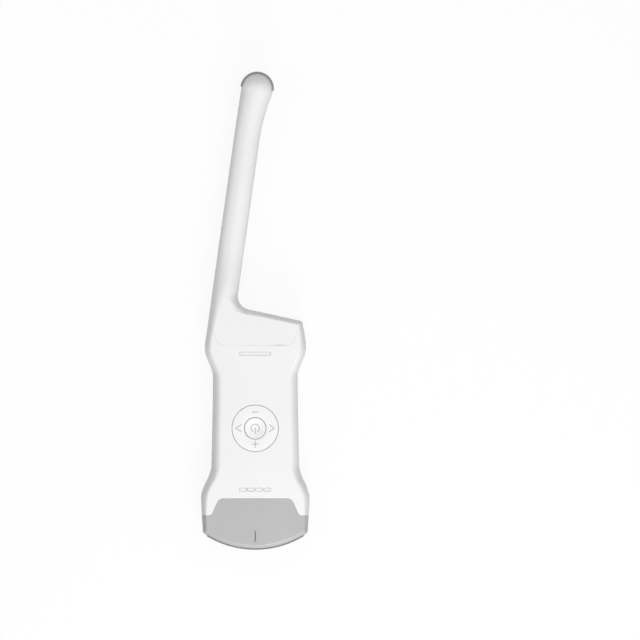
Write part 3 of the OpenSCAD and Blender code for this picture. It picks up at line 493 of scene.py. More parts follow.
# %% [markdown]
# Both seams are the same tab: a flat edge with slanting sides that level out at the flanks.
# On the real casing a moulded lip closes them from inside, so they show as thin faint
# lines. Here a gap of a fiftieth of a millimetre between the pieces, with the bevels at its
# sides, gives that line.

# %% Seams
SEAM_GAP = 0.02
NOSE_SEAM_Y = -44.8
NECK_SEAM_Y = 53.1
TAB_HALF = 23.2
TAB_H = 10.9
TAB_RUN = 4.9
SIDE = 36.0
BELOW, ABOVE = -5, 30


def seam(y, rise, trim):
    half = TAB_HALF + trim
    a, b, c = Vector((half, y)), Vector((half + TAB_RUN, y + rise)), Vector((SIDE, y + rise))
    right = fillet(Vector((0, y)), a, b, 4.6, 10)[0] + fillet(a, b, c, 2.3, 10)[0] + [c]
    return [Vector((-p.x, p.y)) for p in reversed(right)] + right


def handle_zone():
    low = seam(NOSE_SEAM_Y + SEAM_GAP / 2, -TAB_H, SEAM_GAP / 2)
    high = seam(NECK_SEAM_Y - SEAM_GAP / 2, TAB_H, SEAM_GAP / 2)
    return prism(low + list(reversed(high)), BELOW, ABOVE)


def nose_zone():
    low = seam(NOSE_SEAM_Y - SEAM_GAP / 2, -TAB_H, -SEAM_GAP / 2)
    return prism(low + [Vector((SIDE, -85)), Vector((-SIDE, -85))], BELOW, ABOVE)


def neck_zone():
    low = seam(NECK_SEAM_Y + SEAM_GAP / 2, TAB_H, -SEAM_GAP / 2)
    return prism(low + [Vector((SIDE, 235)), Vector((-SIDE, 235))], BELOW, ABOVE)


# %% [markdown]
# ## Handle shells
# The two halves of the handle meet in the middle plane on a thin gasket. The front one has
# the pad's hole and the windows' slots, whose rims are rounded over as the mould leaves
# them.

# %% Handle shells
FACE_Z = 24.0
PAD_HOLE_R = 15.0
STATUS_Y = 47.7
GAUGE_Y = -39.2
GAUGE_XS = [-7.725, -2.575, 2.575, 7.725]
STATUS_L = 19.9
GAUGE_L = 4.6
WINDOW_W = 1.9
SLOT_MORE = 0.3
FACE_CUT = (20, 26)
PORT_Y = -47.4
PORT_L, PORT_W = 12.4, 6.4
PORT_IN_X, PORT_OUT_X = 31, 37
NICK_R = 2.0
CASE_SCREWS = [(-20.6, 30), (20.6, 30), (-20.6, -22), (20.6, -22)]
NECK_SCREWS = [(21, 61), (-23.4, 64)]
SCREW_HOLE_R = 2.45
SHELL_EDGE = 0.14
HANDLE_ROWS = (nose_rows - 2, flank_rows + 24)


def port_cutter(length, width, start):
    outline = stadium(length, width)
    return from_rings("cutter", [[(x, PORT_Y + p.x, MID_Z + p.y) for p in outline]
                                 for x in (start, PORT_OUT_X)])


def nick_cutter():
    y = PORT_Y + 8.0
    outline = circle(NICK_R, (smooth(FLANK, y) + 1.5, y), 40)
    return prism(outline, MID_Z - 3.5, MID_Z + 3.5)


def screw_cutter(at):
    return prism(circle(SCREW_HOLE_R, at, 40), -1, 3.5)


def window_cutter(length, at):
    return prism(stadium(length + SLOT_MORE, WINDOW_W + SLOT_MORE, at), *FACE_CUT, 0.15, FACE_Z)


front_shell = half_casing("front_shell_piece", *HANDLE_ROWS, 1)
cut(front_shell, handle_zone(), "INTERSECT")
cut(front_shell, prism(circle(PAD_HOLE_R), *FACE_CUT, 0.12, FACE_Z))
cut(front_shell, window_cutter(STATUS_L, (0, STATUS_Y)))
for x in GAUGE_XS:
    cut(front_shell, window_cutter(GAUGE_L, (x, GAUGE_Y)))
back_shell = half_casing("back_shell_piece", *HANDLE_ROWS, -1)
cut(back_shell, handle_zone(), "INTERSECT")
for shell in (front_shell, back_shell):
    cut(shell, port_cutter(PORT_L, PORT_W, PORT_IN_X))
    cut(shell, nick_cutter())
for at in CASE_SCREWS:
    cut(back_shell, screw_cutter(at))
for shell in (front_shell, back_shell):
    soften(shell, SHELL_EDGE)
    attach(shell, "handle")
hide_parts("front_shell")
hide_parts("back_shell")
print("front shell", len(front_shell.data.polygons), "faces")

# %% [markdown]
# ## Neck shells
# The shoulder and the neck are one moulding in two halves, open at the tip for the lens. A
# small rib on the front near the tip shows which way the image lies. It is thickest at the
# tip, thins out down the neck and hardly rises out of the flare.

# %% Neck shells
NECK_ROWS = (flank_rows - 4, row_count)
TIP_HALF_Z = 4.5
LENS_GAP = 0.15
RIB_TOP_S = 130.9
RIB_L = 17.8
RIB_R = 1.6
RIB_RISE = 0.6
RIB_SIDE = -0.7


def tip_slot():
    ball = on_neck(NECK_LEN, BALL_SHIFT)
    half, reach = TIP_HALF_Z + LENS_GAP, 20.0
    corners = [ball - ACROSS * reach, ball + ACROSS * reach,
               ball + ACROSS * reach + ALONG * reach, ball - ACROSS * reach + ALONG * reach]
    return prism(corners, MID_Z - half, MID_Z + half)


def marker_rib():
    turns = [math.tau * k / 20 for k in range(20)]
    rings = []
    for i in range(25):
        t = i / 24
        blunt = math.sqrt(max(0.0, 1 - (1 - min(1.0, t * 8)) ** 2))
        size = max(0.05, RIB_R * blunt * (1 - 0.55 * t))
        height = MID_Z + NECK_R + RIB_RISE - 0.75 * t * t - size
        centre = on_neck(RIB_TOP_S - RIB_L * t, RIB_SIDE)
        rings.append([(*(centre + ACROSS * size * math.cos(a)), height + size * math.sin(a))
                      for a in turns])
    return from_rings("cutter", rings)


neck_front = half_casing("neck_front_piece", *NECK_ROWS, 1)
neck_back = half_casing("neck_back_piece", *NECK_ROWS, -1)
cut(neck_front, marker_rib(), "UNION")
for shell in (neck_front, neck_back):
    cut(shell, neck_zone(), "INTERSECT")
    cut(shell, tip_slot())
for at in NECK_SCREWS:
    cut(neck_back, screw_cutter(at))
for shell in (neck_front, neck_back):
    soften(shell, SHELL_EDGE)
    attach(shell, "handle")
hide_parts("neck_front_shell")
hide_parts("neck_back_shell")
print("neck front", len(neck_front.data.polygons), "faces")

# %% [markdown]
# ## Grey head
# The wide head's housing is one grey moulding. The silicone lens comes through a slot in
# its end, and a short filled groove on the front marks the middle of the picture.

# %% Grey head
def arc_band(name, profile, half_a, steps=72):
    """Sweeps a profile of (radius, height) about the lens centre."""
    rings = []
    for i in range(steps + 1):
        a = -half_a + 2 * half_a * i / steps
        rings.append([(*on_arc(r, a), MID_Z + z) for r, z in profile])
    return from_rings(name, rings)


LENS_HALF_Z = 7.0
window_z = LENS_HALF_Z + LENS_GAP
window = [(56, -window_z), (61, -window_z), (61, window_z), (56, window_z)]
nose = whole_form("nose_piece", 0, nose_rows + 22)
cut(nose, nose_zone(), "INTERSECT")
cut(nose, whole_form("cutter", 0, nose_rows + 26, WALL))
cut(nose, arc_band("cutter", window, math.radians(LENS_HALF_A) + LENS_GAP / LENS_R))
MARK_Y = -68.9
MARK_L = 7.2
MARK_W = 0.6
MARK_POINT = 0.7
GROOVE_Z = FACE_Z - 0.8


def mark_outline(trim):
    half, w = MARK_L / 2 - trim, MARK_W / 2 - trim
    upper = [Vector((w, half - MARK_POINT)), Vector((0, half)), Vector((-w, half - MARK_POINT))]
    return [Vector((-p.x, MARK_Y - p.y)) for p in upper] + [Vector((p.x, MARK_Y + p.y)) for p in upper]


cut(nose, prism(mark_outline(0), GROOVE_Z, FACE_CUT[1]))
soften(nose, 0.12)
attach(nose, "handle")
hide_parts("nose_housing")
mark = prism(mark_outline(0.01), GROOVE_Z, FACE_Z - 0.05)
mark.name = "midline_mark_piece"
shade(mark)
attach(mark, "handle")
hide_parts("midline_mark")
print("nose", len(nose.data.polygons), "faces")

# %% [markdown]
# ## Lenses
# Both lenses are silicone cast over the arrays. The wide one is a crowned band, and the
# small one is half of a ball. Each is swept about its own centre.

# %% Lenses
LENS_BACK_R = 57.7
CROWN_H = 0.6
crown = [(LENS_BACK_R, -LENS_HALF_Z)]
for k in range(17):
    t = -1 + 2 * k / 16
    edge = 0.35 * max(0.0, (abs(t) - 0.9) / 0.1) ** 2
    crown.append((LENS_R - CROWN_H * t * t - edge, LENS_HALF_Z * t))
crown.append((LENS_BACK_R, LENS_HALF_Z))
wide_lens = arc_band("convex_lens_piece", crown, math.radians(LENS_HALF_A), 96)
shade(wide_lens)
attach(wide_lens, "handle")
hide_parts("convex_lens")


def tip_point(r, a, z):
    ball = on_neck(NECK_LEN, BALL_SHIFT)
    p = ball + ACROSS * r * math.cos(a) + ALONG * r * math.sin(a)
    return (p.x, p.y, MID_Z + z)


TIP_BACK_R = 8.9
tip_rings = []
for i in range(65):
    a = math.pi * i / 64
    ring = [tip_point(TIP_BACK_R, a, -TIP_HALF_Z)]
    for k in range(13):
        z = TIP_HALF_Z * (-1 + 2 * k / 12)
        fall = 0.3 * max(0.0, (abs(z) - 4.0) / 0.5) ** 2
        ring.append(tip_point(math.sqrt(BALL_R ** 2 - z * z) - fall, a, z))
    ring.append(tip_point(TIP_BACK_R, a, TIP_HALF_Z))
    tip_rings.append(ring)
tip_lens = from_rings("tip_lens_piece", tip_rings)
shade(tip_lens)
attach(tip_lens, "handle")
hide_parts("tip_lens")
print("wide lens", len(wide_lens.data.polygons), "ball lens", len(tip_lens.data.polygons))

# %% [markdown]
# ## Control pad
# The ring rocks under the thumb and the button in its middle is pressed. Both are turned
# forms, so each is one profile spun about the pad's axis. The ring's top is slightly
# crowned and the button's is a shallow dish that catches the light.

# %% Ring and button
RING_R = 14.7
RING_BORE_R = 7.13
RING_TOP = 24.26
RING_LOW = 20.2
RING_MID_R = 10.8
RING_HALF_W = 3.2
RING_CROWN = 0.16
BUTTON_R = 6.77
FLANGE_T = 0.8
DISH_R = 20.0
dish_low = RING_TOP - 1.02


def spun(name, profile, steps=128):
    """Spins a closed profile of (radius, height) about a vertical axis."""
    n = len(profile)
    points, faces = [], []
    for k in range(steps):
        a = math.tau * k / steps
        points += [(r * math.cos(a), r * math.sin(a), z) for r, z in profile]
    for k in range(steps):
        for j in range(n):
            if profile[j][0] == profile[(j + 1) % n][0] == 0:
                continue
            a, b = k * n + j, k * n + (j + 1) % n
            c, d = ((k + 1) % steps) * n + (j + 1) % n, ((k + 1) % steps) * n + j
            faces.append((a, b, c, d))
    return from_points(name, points, faces)


def rounded(corner_r, corner_z, r, first, last):
    """Points of a small round at a corner of a profile, from one heading to another."""
    turns = [math.radians(first + (last - first) * k / 5) for k in range(6)]
    return [(corner_r + r * math.cos(a), corner_z + r * math.sin(a)) for a in turns]


def ring_height(r):
    t = (RING_MID_R - r) / RING_HALF_W
    return RING_TOP - RING_CROWN * t * t


def button_height(r):
    return min(RING_TOP - 0.02, dish_low + DISH_R - math.sqrt(DISH_R ** 2 - r * r))


flange_r, flange_top = 16.0, RING_LOW + FLANGE_T
ring_profile = [(8.15, RING_LOW), (flange_r, RING_LOW), (flange_r, flange_top), (RING_R, flange_top)]
ring_profile += rounded(RING_R - 0.2, RING_TOP - 0.37, 0.2, 0, 80)
for k in range(1, 8):
    r = RING_MID_R - RING_HALF_W * (-1 + 2 * k / 8)
    ring_profile.append((r, ring_height(r)))
ring_profile += rounded(RING_BORE_R + 0.18, RING_TOP - 0.36, 0.18, 100, 180)
ring_profile += [(RING_BORE_R, RING_LOW + 1.7), (8.15, RING_LOW + 1.7)]
ring = spun("nav_ring_piece", ring_profile)
shade(ring)
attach(ring, "ring")
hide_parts("nav_ring")

button_profile = [(0, RING_LOW), (7.7, RING_LOW), (7.7, flange_top), (BUTTON_R, flange_top)]
button_profile += rounded(BUTTON_R - 0.2, RING_TOP - 0.22, 0.2, 0, 90)
for k in range(14):
    r = 6.35 * (1 - k / 14)
    button_profile.append((r, button_height(r)))
button_profile.append((0, dish_low))
button = spun("power_button_piece", button_profile)
shade(button)
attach(button, "button")
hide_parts("power_button")
print("ring", len(ring.data.polygons), "button", len(button.data.polygons))

# %% [markdown]
# The symbols are printed on the caps in thin grey ink. Each is a flat outline laid just
# above its surface: strokes with round ends, and an arc for the power sign.

# %% Symbols
INK_T = 0.03
INK_LIFT = 0.002
STROKE_W = 0.5


def stroke(points, width):
    """The outline of a line through points, with round ends."""
    left, right = [], []
    for i, p in enumerate(points):
        ahead = (points[min(i + 1, len(points) - 1)] - points[max(i - 1, 0)]).normalized()
        side = Vector((-ahead.y, ahead.x)) * width / 2
        left.append(p + side)
        right.append(p - side)
    tip = (points[-1] - points[-2]).normalized()
    tail = (points[0] - points[1]).normalized()
    turns = [math.pi * k / 8 for k in range(1, 8)]

    def cap(at, heading):
        side = Vector((-heading.y, heading.x))
        return [at + width / 2 * (side * math.cos(a) + heading * math.sin(a)) for a in turns]

    return left + cap(points[-1], tip) + list(reversed(right)) + cap(points[0], tail)


def laid(name, outlines, surface):
    """Thin ink that lies on a surface, whose height is a function of the radius."""
    b = bmesh.new()
    for outline in outlines:
        face = b.faces.new([b.verts.new((p.x * MM, p.y * MM, surface(p.length) * MM)) for p in outline])
        bmesh.ops.triangulate(b, faces=[face])
    bmesh.ops.subdivide_edges(b, edges=[e for e in b.edges if e.calc_length() > 0.8 * MM], cuts=2)
    bmesh.ops.triangulate(b, faces=b.faces)
    for v in b.verts:
        v.co.z = (surface(math.hypot(v.co.x, v.co.y) / MM) + INK_LIFT) * MM
    bmesh.ops.recalc_face_normals(b, faces=b.faces)
    if sum(f.normal.z for f in b.faces) < 0:
        bmesh.ops.reverse_faces(b, faces=b.faces)
    raised = bmesh.ops.extrude_face_region(b, geom=b.faces[:])
    for v in [g for g in raised["geom"] if isinstance(g, bmesh.types.BMVert)]:
        v.co.z += INK_T * MM
    bmesh.ops.recalc_face_normals(b, faces=b.faces)
    mesh = bpy.data.meshes.new(name)
    b.to_mesh(mesh)
    b.free()
    return new_piece(name, mesh)


def line(*points):
    """A fine chain of points along straight runs."""
    chain = []
    for a, b in zip(points, points[1:]):
        a, b = Vector(a), Vector(b)
        chain += [a.lerp(b, k / 6) for k in range(6)]
    return chain + [Vector(points[-1])]


marks = {
    "ring_minus": [line((-2.0, 10.3), (2.0, 10.3))],
    "ring_plus": [line((-1.9, -10.2), (1.9, -10.2)), line((0, -8.1), (0, -9.9)),
                  line((0, -10.5), (0, -12.3))],
    "ring_back": [line((-9.0, 2.2), (-12.4, 0), (-9.0, -2.2))],
    "ring_forward": [line((9.0, 2.2), (12.4, 0), (9.0, -2.2))],
}
for name, strokes in marks.items():
    symbol = laid(name, [stroke(s, STROKE_W) for s in strokes], ring_height)
    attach(symbol, "ring")
POWER_R = 2.6
power_turns = [math.radians(-143 + 286 * k / 40) for k in range(41)]
power_arc = [Vector((POWER_R * math.sin(a), POWER_R * math.cos(a))) for a in power_turns]
power_bar = line((0, 0.2), (0, -3.6))
power = laid("power_sign", [stroke(s, STROKE_W) for s in (power_arc, power_bar)], button_height)
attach(power, "button")
print("symbols", len(marks) + 1)

# %% [markdown]
# ## Windows
# The status window and the gauge's four windows are plates of milky plastic, which spread
# the light of the diodes below them. They sit a touch under the face, so each is a plate
# with a rounded rim, narrower than its slot.

# %% Windows
def domed_plate(name, outlines, low, top, edge=0.2):
    """Plates with a softly rounded upper rim."""
    stacks = []
    for outline in outlines:
        middle = sum(outline, Vector((0, 0))) / len(outline)
        rings = [[(p.x, p.y, low) for p in outline]]
        for k in range(5):
            a = math.pi / 2 * k / 4
            shrink, height = edge * (1 - math.cos(a)), top - edge + edge * math.sin(a)
            rings.append([(*(p - shrink * (p - middle).normalized()), height) for p in outline])
        stacks.append(rings)
    plate = from_rings(name, *stacks)
    shade(plate)
    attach(plate, "handle")
    return plate


WINDOW_LOW, WINDOW_TOP = 22, FACE_Z - 0.1
status_outline = stadium(STATUS_L, WINDOW_W, (0, STATUS_Y))
status = domed_plate("status_window_piece", [status_outline], WINDOW_LOW, WINDOW_TOP)
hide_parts("status_window")
gauge_outlines = [stadium(GAUGE_L, WINDOW_W, (x, GAUGE_Y)) for x in GAUGE_XS]
gauge = domed_plate("gauge_windows_piece", gauge_outlines, WINDOW_LOW, WINDOW_TOP)
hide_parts("gauge_windows")
print("windows", 1 + len(gauge_outlines))

# %% [markdown]
# ## Gaskets
# A silicone gasket fills the parting line of the handle and of the neck. It follows the
# same rows as the walls, so it is swept along them, a little inside both faces.


# %% Gaskets
GASKET_INSET = 0.4


def gasket_strip(name, start, end):
    """The gasket of both sides between two rows."""
    half = GASKET_T / 2
    stacks = []
    for side in (0, 2):
        rings = []
        for i in range(start, end):
            p, q = (inset_row(i, depth)[side] for depth in (GASKET_INSET, WALL - GASKET_INSET))
            rings.append([(p.x, p.y, MID_Z + half), (q.x, q.y, MID_Z + half),
                          (q.x, q.y, MID_Z - half), (p.x, p.y, MID_Z - half)])
        stacks.append(rings)
    return from_rings(name, *stacks)


body_gasket = gasket_strip("body_gasket_piece", *HANDLE_ROWS)
cut(body_gasket, handle_zone(), "INTERSECT")
cut(body_gasket, port_cutter(PORT_L, PORT_W, PORT_IN_X))
cut(body_gasket, nick_cutter())
neck_gasket = gasket_strip("neck_gasket_piece", NECK_ROWS[0], ball_from)
cut(neck_gasket, neck_zone(), "INTERSECT")
for strip, node in ((body_gasket, "body_gasket"), (neck_gasket, "neck_gasket")):
    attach(strip, "handle")
    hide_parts(node)
print("gaskets", [len(g.data.polygons) for g in (body_gasket, neck_gasket)])

# %% [markdown]
# ## Caps and plug
# Soft caps close the screw holes in the back. Each is a low button with a dished top, drawn
# as rings that sink and shrink. The plug of the charging port is a block of the casing's
# own form, so it lies flush in the flank, and it moves when it is pulled out.

# %% Screw caps and port plug
CAP_R = 2.4
CAP_DEPTH = 1.65
CAP_STEPS = ((0.3, 0.0), (0.19, 0.04), (0.15, 0.15), (0.15, 1.35), (0.3, 1.5), (0.35, 1.7))
cap_stacks = []
for at in CASE_SCREWS + NECK_SCREWS:
    outline = circle(CAP_R, at, 40)
    rings = [[(p.x, p.y, CAP_DEPTH) for p in outline]]
    for sink, shrink in CAP_STEPS:
        rings.append([(*(p - shrink * (p - Vector(at)).normalized()), sink) for p in outline])
    cap_stacks.append(rings)
screw_caps = from_rings("screw_plugs_piece", *cap_stacks)
shade(screw_caps)
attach(screw_caps, "handle")
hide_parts("screw_plugs")

PLUG_L, PLUG_W = 12.0, 6.0
PLUG_IN_X = 32.3
port_plug = whole_form("port_plug_piece", nose_rows - 12, nose_rows + 24)
cut(port_plug, port_cutter(PLUG_L, PLUG_W, PLUG_IN_X), "INTERSECT")
soften(port_plug, 0.3)
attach(port_plug, "plug")
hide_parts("port_plug")
print("port plug", [round(c / MM, 2) for c in port_plug.dimensions])

# %% [markdown]
# ## Finishes
# Each finish is named for what it is. One function turns written sRGB colours to the
# linear ones that the shader wants, and one adds a node with its settings and links.

# %% Helpers for finishes
def rgb(code):
    """An sRGB hex colour as linear red, green, blue and alpha."""
    values = [int(code[i:i + 2], 16) / 255 for i in (0, 2, 4)]
    return [v / 12.92 if v <= 0.04045 else ((v + 0.055) / 1.055) ** 2.4 for v in values] + [1]


def add(tree, kind, links=None, **settings):
    """Adds a node with its settings, and links its inputs to outputs given as (node, name)."""
    made = tree.nodes.new(kind)
    for name, value in settings.items():
        if hasattr(made, name):
            setattr(made, name, value)
        else:
            made.inputs[name.replace("_", " ")].default_value = value
    for name, (source, output) in (links or {}).items():
        tree.links.new(source.outputs[output], made.inputs[name])
    return made


def finish(name, **values):
    """A new material with its shader's own sockets set."""
    made = bpy.data.materials.new(name)
    made.use_nodes = True
    shader = made.node_tree.nodes["Principled BSDF"]
    for key, value in values.items():
        shader.inputs[key.replace("_", " ")].default_value = value
    return made, made.node_tree, shader


def mottled(tree, shader, low, high, scale):
    """A colour that drifts softly between two sRGB values over scale millimetres."""
    place = add(tree, "ShaderNodeTexCoord")
    noise = add(tree, "ShaderNodeTexNoise", {"Vector": (place, "Object")},
                Scale=1000 / scale, Detail=3.0)
    ramp = add(tree, "ShaderNodeValToRGB", {"Fac": (noise, "Fac")})
    ramp.color_ramp.elements[0].position = 0.3
    ramp.color_ramp.elements[1].position = 0.7
    ramp.color_ramp.elements[0].color = rgb(low)
    ramp.color_ramp.elements[1].color = rgb(high)
    tree.links.new(ramp.outputs["Color"], shader.inputs["Base Color"])
    return place


def grained(tree, shader, place, scale, strength, depth, rough):
    """Fine moulded grain: a bump of scale millimetres, and its share in the roughness."""
    noise = add(tree, "ShaderNodeTexNoise", {"Vector": (place, "Object")},
                Scale=1000 / scale, Detail=2.0)
    bump = add(tree, "ShaderNodeBump", {"Height": (noise, "Fac")},
               Strength=strength, Distance=depth * MM)
    tree.links.new(bump.outputs["Normal"], shader.inputs["Normal"])
    ramp = add(tree, "ShaderNodeMapRange", {"Value": (noise, "Fac")},
               To_Min=rough[0], To_Max=rough[1])
    tree.links.new(ramp.outputs["Result"], shader.inputs["Roughness"])


def paint(piece, material):
    piece.data.materials.clear()
    piece.data.materials.append(material)


# %% [markdown]
# The white casing is ABS moulded in a finely spark-eroded tool. That gives a satin surface:
# its reflections are wide and soft, and the colour is nearly the same all over. The grain
# is about 0.35 mm, coarser than the real 0.1 mm so that it shows close up.

# %% White and grey ABS
white_abs, tree, shader = finish("white_satin_abs", IOR=1.53, Specular_IOR_Level=0.3)
place = mottled(tree, shader, "f2f2f2", "f5f5f5", 30)
grained(tree, shader, place, 0.35, 0.12, 0.01, (0.36, 0.44))

button_abs, tree, shader = finish("white_smooth_abs", IOR=1.53)
place = mottled(tree, shader, "f4f4f4", "f7f7f7", 12)
grained(tree, shader, place, 0.3, 0.06, 0.01, (0.26, 0.33))

grey_abs, tree, shader = finish("grey_satin_abs", IOR=1.53, Specular_IOR_Level=0.35)
place = mottled(tree, shader, "b9b9ba", "bdbdbe", 25)
grained(tree, shader, place, 0.35, 0.12, 0.01, (0.38, 0.46))

# %% [markdown]
# The lenses are acoustic silicone, cast and a little oily: darker than the grey housing on
# the wide head and pale on the ball. Silicone is softer than plastic and lets light a
# little way in, so its highlights are broad.

# %% Silicone
wide_silicone, tree, shader = finish("grey_cast_silicone", IOR=1.41)
place = mottled(tree, shader, "717274", "7a7b7d", 9)
grained(tree, shader, place, 0.5, 0.08, 0.01, (0.4, 0.5))

ball_silicone, tree, shader = finish("pale_cast_silicone", IOR=1.41)
place = mottled(tree, shader, "a2a3a4", "aaabac", 6)
grained(tree, shader, place, 0.5, 0.08, 0.01, (0.38, 0.48))

# %% [markdown]
# The caps and the plug are a soft white elastomer, matter than the casing. The gasket is
# grey silicone. The pad's symbols are printed in a thin grey ink, the mark on the grey head
# is a groove filled with dark paint, and the light windows are milky polycarbonate, which
# is the glossiest of them.

# %% Rubber, ink and windows
soft_white, tree, shader = finish("white_soft_rubber", IOR=1.45)
place = mottled(tree, shader, "e9eaeb", "eeefef", 8)
grained(tree, shader, place, 0.4, 0.1, 0.01, (0.5, 0.6))

gasket_rubber, tree, shader = finish("grey_silicone_gasket", IOR=1.41)
place = mottled(tree, shader, "8c8f92", "96999c", 5)
grained(tree, shader, place, 0.5, 0.1, 0.01, (0.55, 0.65))

pad_ink, tree, shader = finish("grey_pad_ink", IOR=1.5)
place = mottled(tree, shader, "aeaeaf", "b8b8b9", 0.8)
grained(tree, shader, place, 0.2, 0.15, 0.004, (0.45, 0.6))

dark_fill, tree, shader = finish("dark_groove_fill", IOR=1.5)
place = mottled(tree, shader, "55585b", "5f6265", 0.8)
grained(tree, shader, place, 0.2, 0.2, 0.01, (0.5, 0.65))

milky_window, tree, shader = finish("milky_polycarbonate", IOR=1.58)
place = mottled(tree, shader, "eff0f1", "f3f4f4", 4)
grained(tree, shader, place, 0.6, 0.04, 0.01, (0.2, 0.28))

# %% [markdown]
# Each piece gets one material, named for what it is made of.

# %% Finishes on the outer pieces
for piece in (front_shell, back_shell, neck_front, neck_back):
    paint(piece, white_abs)
for piece in (ring, button):
    paint(piece, button_abs)
paint(nose, grey_abs)
paint(wide_lens, wide_silicone)
paint(tip_lens, ball_silicone)
for piece in (screw_caps, port_plug):
    paint(piece, soft_white)
for piece in (body_gasket, neck_gasket):
    paint(piece, gasket_rubber)
for name in list(marks) + ["power_sign"]:
    paint(bpy.data.objects[name], pad_ink)
paint(mark, dark_fill)
for piece in (status, gauge):
    paint(piece, milky_window)
print("materials so far", len(bpy.data.materials))

# %% [markdown]
# ## Finishes of the inner pieces
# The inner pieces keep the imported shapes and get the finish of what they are: a green
# solder mask over copper, black epoxy chip packages, tinned steel cans, brass-coloured
# foil, nylon, polyimide film, and a shrink-wrapped cell.

# %% Inner finishes
inner = {}
for name, low, high, scale, metal, rough, grain in (
    ("green_solder_mask", "1c5c34", "23693d", 2.0, 0, (0.3, 0.42), 0.8),
    ("black_epoxy_package", "1b1c1e", "232527", 1.0, 0, (0.5, 0.65), 0.3),
    ("tinned_steel", "b9bcc0", "c8cbce", 3.0, 1, (0.28, 0.42), 0.5),
    ("machined_steel", "9fa3a8", "b2b6ba", 1.5, 1, (0.3, 0.45), 0.3),
    ("copper_foil", "b98a4e", "c79a5f", 2.0, 1, (0.35, 0.5), 0.5),
    ("filled_epoxy", "232425", "303132", 1.2, 0, (0.6, 0.75), 0.4),
    ("dark_nylon", "44474a", "4e5154", 3.0, 0, (0.45, 0.6), 0.5),
    ("polyimide_film", "b06a22", "c2792b", 3.0, 0, (0.25, 0.4), 0.8),
    ("black_cable_jacket", "222426", "2d2f31", 2.0, 0, (0.5, 0.62), 0.5),
    ("red_lead_jacket", "8d1f1f", "a02727", 1.5, 0, (0.4, 0.55), 0.4),
    ("ivory_nylon", "ddd8c6", "e6e2d2", 2.0, 0, (0.4, 0.55), 0.4),
    ("led_resin", "eee9cf", "f5f1dc", 0.8, 0, (0.2, 0.3), 0.4),
    ("dielectric_ceramic", "c9bd98", "d6cba8", 0.6, 0, (0.5, 0.62), 0.3),
    ("blue_shrink_wrap", "2d4f86", "365b96", 6.0, 0, (0.28, 0.4), 1.0),
    ("black_foam", "1d1e1f", "2b2c2d", 0.8, 0, (0.85, 0.95), 0.5),
):
    made, tree, shader = finish(name, Metallic=metal, IOR=1.5)
    place = mottled(tree, shader, low, high, scale)
    grained(tree, shader, place, grain, 0.2, 0.02, rough)
    inner[name] = made

uses = {
    "green_solder_mask": ["key_board", "led_boards", "main_board", "port_board"],
    "black_epoxy_package": ["processor", "beamformer_chips", "memory_chips", "power_inductor"],
    "tinned_steel": ["radio_module", "charge_port", "dome_switches"],
    "machined_steel": ["case_screws", "key_screws", "board_screws"],
    "copper_foil": ["convex_array", "tip_array"],
    "filled_epoxy": ["convex_backing", "tip_backing"],
    "dark_nylon": ["head_frame", "tip_frame", "nav_gimbal"],
    "polyimide_film": ["convex_flex", "key_flex"],
    "black_cable_jacket": ["tip_cable", "port_cable"],
    "red_lead_jacket": ["battery_lead"],
    "ivory_nylon": ["convex_connector", "tip_connector", "key_connector"],
    "led_resin": ["indicator_leds"],
    "dielectric_ceramic": ["antenna"],
    "blue_shrink_wrap": ["battery_pack"],
    "black_foam": ["battery_pads"],
}
for name, nodes in uses.items():
    for node in nodes:
        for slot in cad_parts[node].material_slots:
            slot.material = inner[name]
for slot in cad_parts["keypad_mat"].material_slots:
    slot.material = gasket_rubber
print("inner nodes with a finish", sum(len(n) for n in uses.values()) + 1)

# %% [markdown]
# ## Floor and light
# The scanner lies on a plain white table. The floor is white to the camera and in
# reflections, and keeps the object's shadow. To all other rays it is a darker grey, so that
# it doesn't throw its own light up on the flanks.

# %% Floor
FLOOR_HALF = 3
FLOOR_Z = -0.0005


def shown_rays(tree):
    """1 for the rays that show the surroundings, and 0 for those that only carry light."""
    path = add(tree, "ShaderNodeLightPath")
    seen = add(tree, "ShaderNodeMath", {0: (path, "Is Camera Ray"), 1: (path, "Is Glossy Ray")},
               operation="MAXIMUM")
    return add(tree, "ShaderNodeMath", {0: (seen, "Value"), 1: (path, "Is Transmission Ray")},
               operation="MAXIMUM")


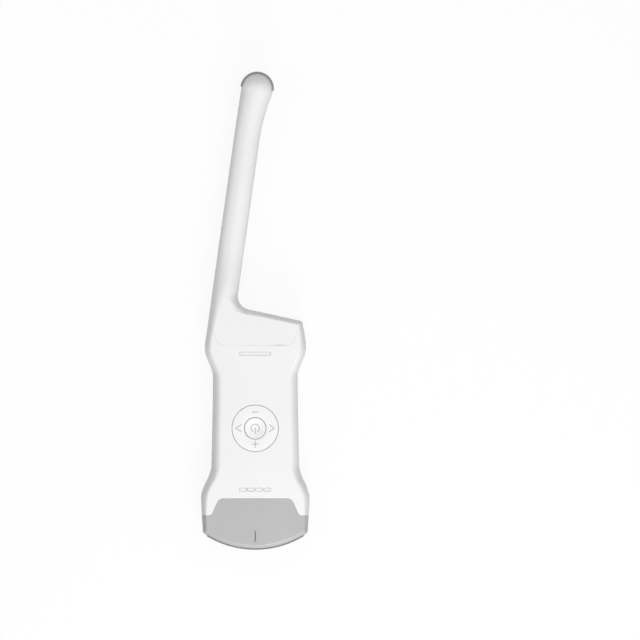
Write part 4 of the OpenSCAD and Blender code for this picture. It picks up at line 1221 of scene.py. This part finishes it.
floor_mesh = bpy.data.meshes.new("floor")
floor_corners = [(x * FLOOR_HALF, y * FLOOR_HALF, FLOOR_Z) for x, y in ((-1, -1), (1, -1), (1, 1), (-1, 1))]
floor_mesh.from_pydata(floor_corners, [], [(0, 1, 2, 3)])
floor = new_piece("floor", floor_mesh)
table = bpy.data.materials.new("white_table")
table.use_nodes = True
tree = table.node_tree
tree.nodes.clear()
seen = shown_rays(tree)
matt = add(tree, "ShaderNodeBsdfDiffuse", Color=rgb("555555"))
shade = add(tree, "ShaderNodeBsdfDiffuse", Color=rgb("595959"))
glow = add(tree, "ShaderNodeEmission", Color=(1, 1, 1, 1), Strength=0.9)
shown = add(tree, "ShaderNodeAddShader", {0: (shade, "BSDF"), 1: (glow, "Emission")})
both = add(tree, "ShaderNodeMixShader",
           {0: (seen, "Value"), 1: (matt, "BSDF"), 2: (shown, "Shader")})
add(tree, "ShaderNodeOutputMaterial", {"Surface": (both, "Shader")})
paint(floor, table)
print("floor at", FLOOR_Z)

# %% [markdown]
# The room's light is even and dim. Two soft boxes, one far off and one near, stand below
# the wide head, so the sides that face them are light and the end of the shoulder is dark.
# A weak card beside the neck and a large one at the right brighten the flanks, and a narrow
# box hangs over the neck. Area lamps are used, since their wide faces give soft edges.

# %% Lamps and world
world = bpy.data.worlds.new("room")
bpy.context.scene.world = world
world.use_nodes = True
tree = world.node_tree
tree.nodes.clear()
seen = shown_rays(tree)
room = add(tree, "ShaderNodeBackground", Color=(1, 1, 1, 1), Strength=0.51)
white = add(tree, "ShaderNodeBackground", Color=(1, 1, 1, 1), Strength=1.0)
both = add(tree, "ShaderNodeMixShader",
           {0: (seen, "Value"), 1: (room, "Background"), 2: (white, "Background")})
add(tree, "ShaderNodeOutputWorld", {"Surface": (both, "Shader")})


def lamp(name, at, aim, size, power):
    """A soft light at a place, turned to a point, both in metres. Its size is (across, along)."""
    data = bpy.data.lights.new(name, "AREA")
    data.shape = "RECTANGLE"
    data.size, data.size_y = size
    data.energy = power
    made = bpy.data.objects.new(name, data)
    made.location = at
    made.rotation_euler = (Vector(aim) - Vector(at)).to_track_quat("-Z", "Y").to_euler()
    bpy.context.collection.objects.link(made)


lamp("far_softbox", (0.12, -0.95, 0.6), (0, 0.05, 0), (0.5, 0.5), 4.2)
lamp("near_softbox", (0.1, -0.5, 0.36), (0, -0.05, 0), (0.3, 0.3), 1.05)
lamp("left_card", (-0.3, 0.19, 0.12), (-0.005, 0.17, 0.01), (0.1, 0.25), 0.11)
lamp("right_card", (0.6, 0.0, 0.4), (0, 0.05, 0), (0.4, 0.8), 0.55)
lamp("neck_box", (0.1, 0.17, 0.4), (-0.005, 0.17, 0), (0.1, 0.3), 0.25)
print("lamps", len(bpy.data.lights))
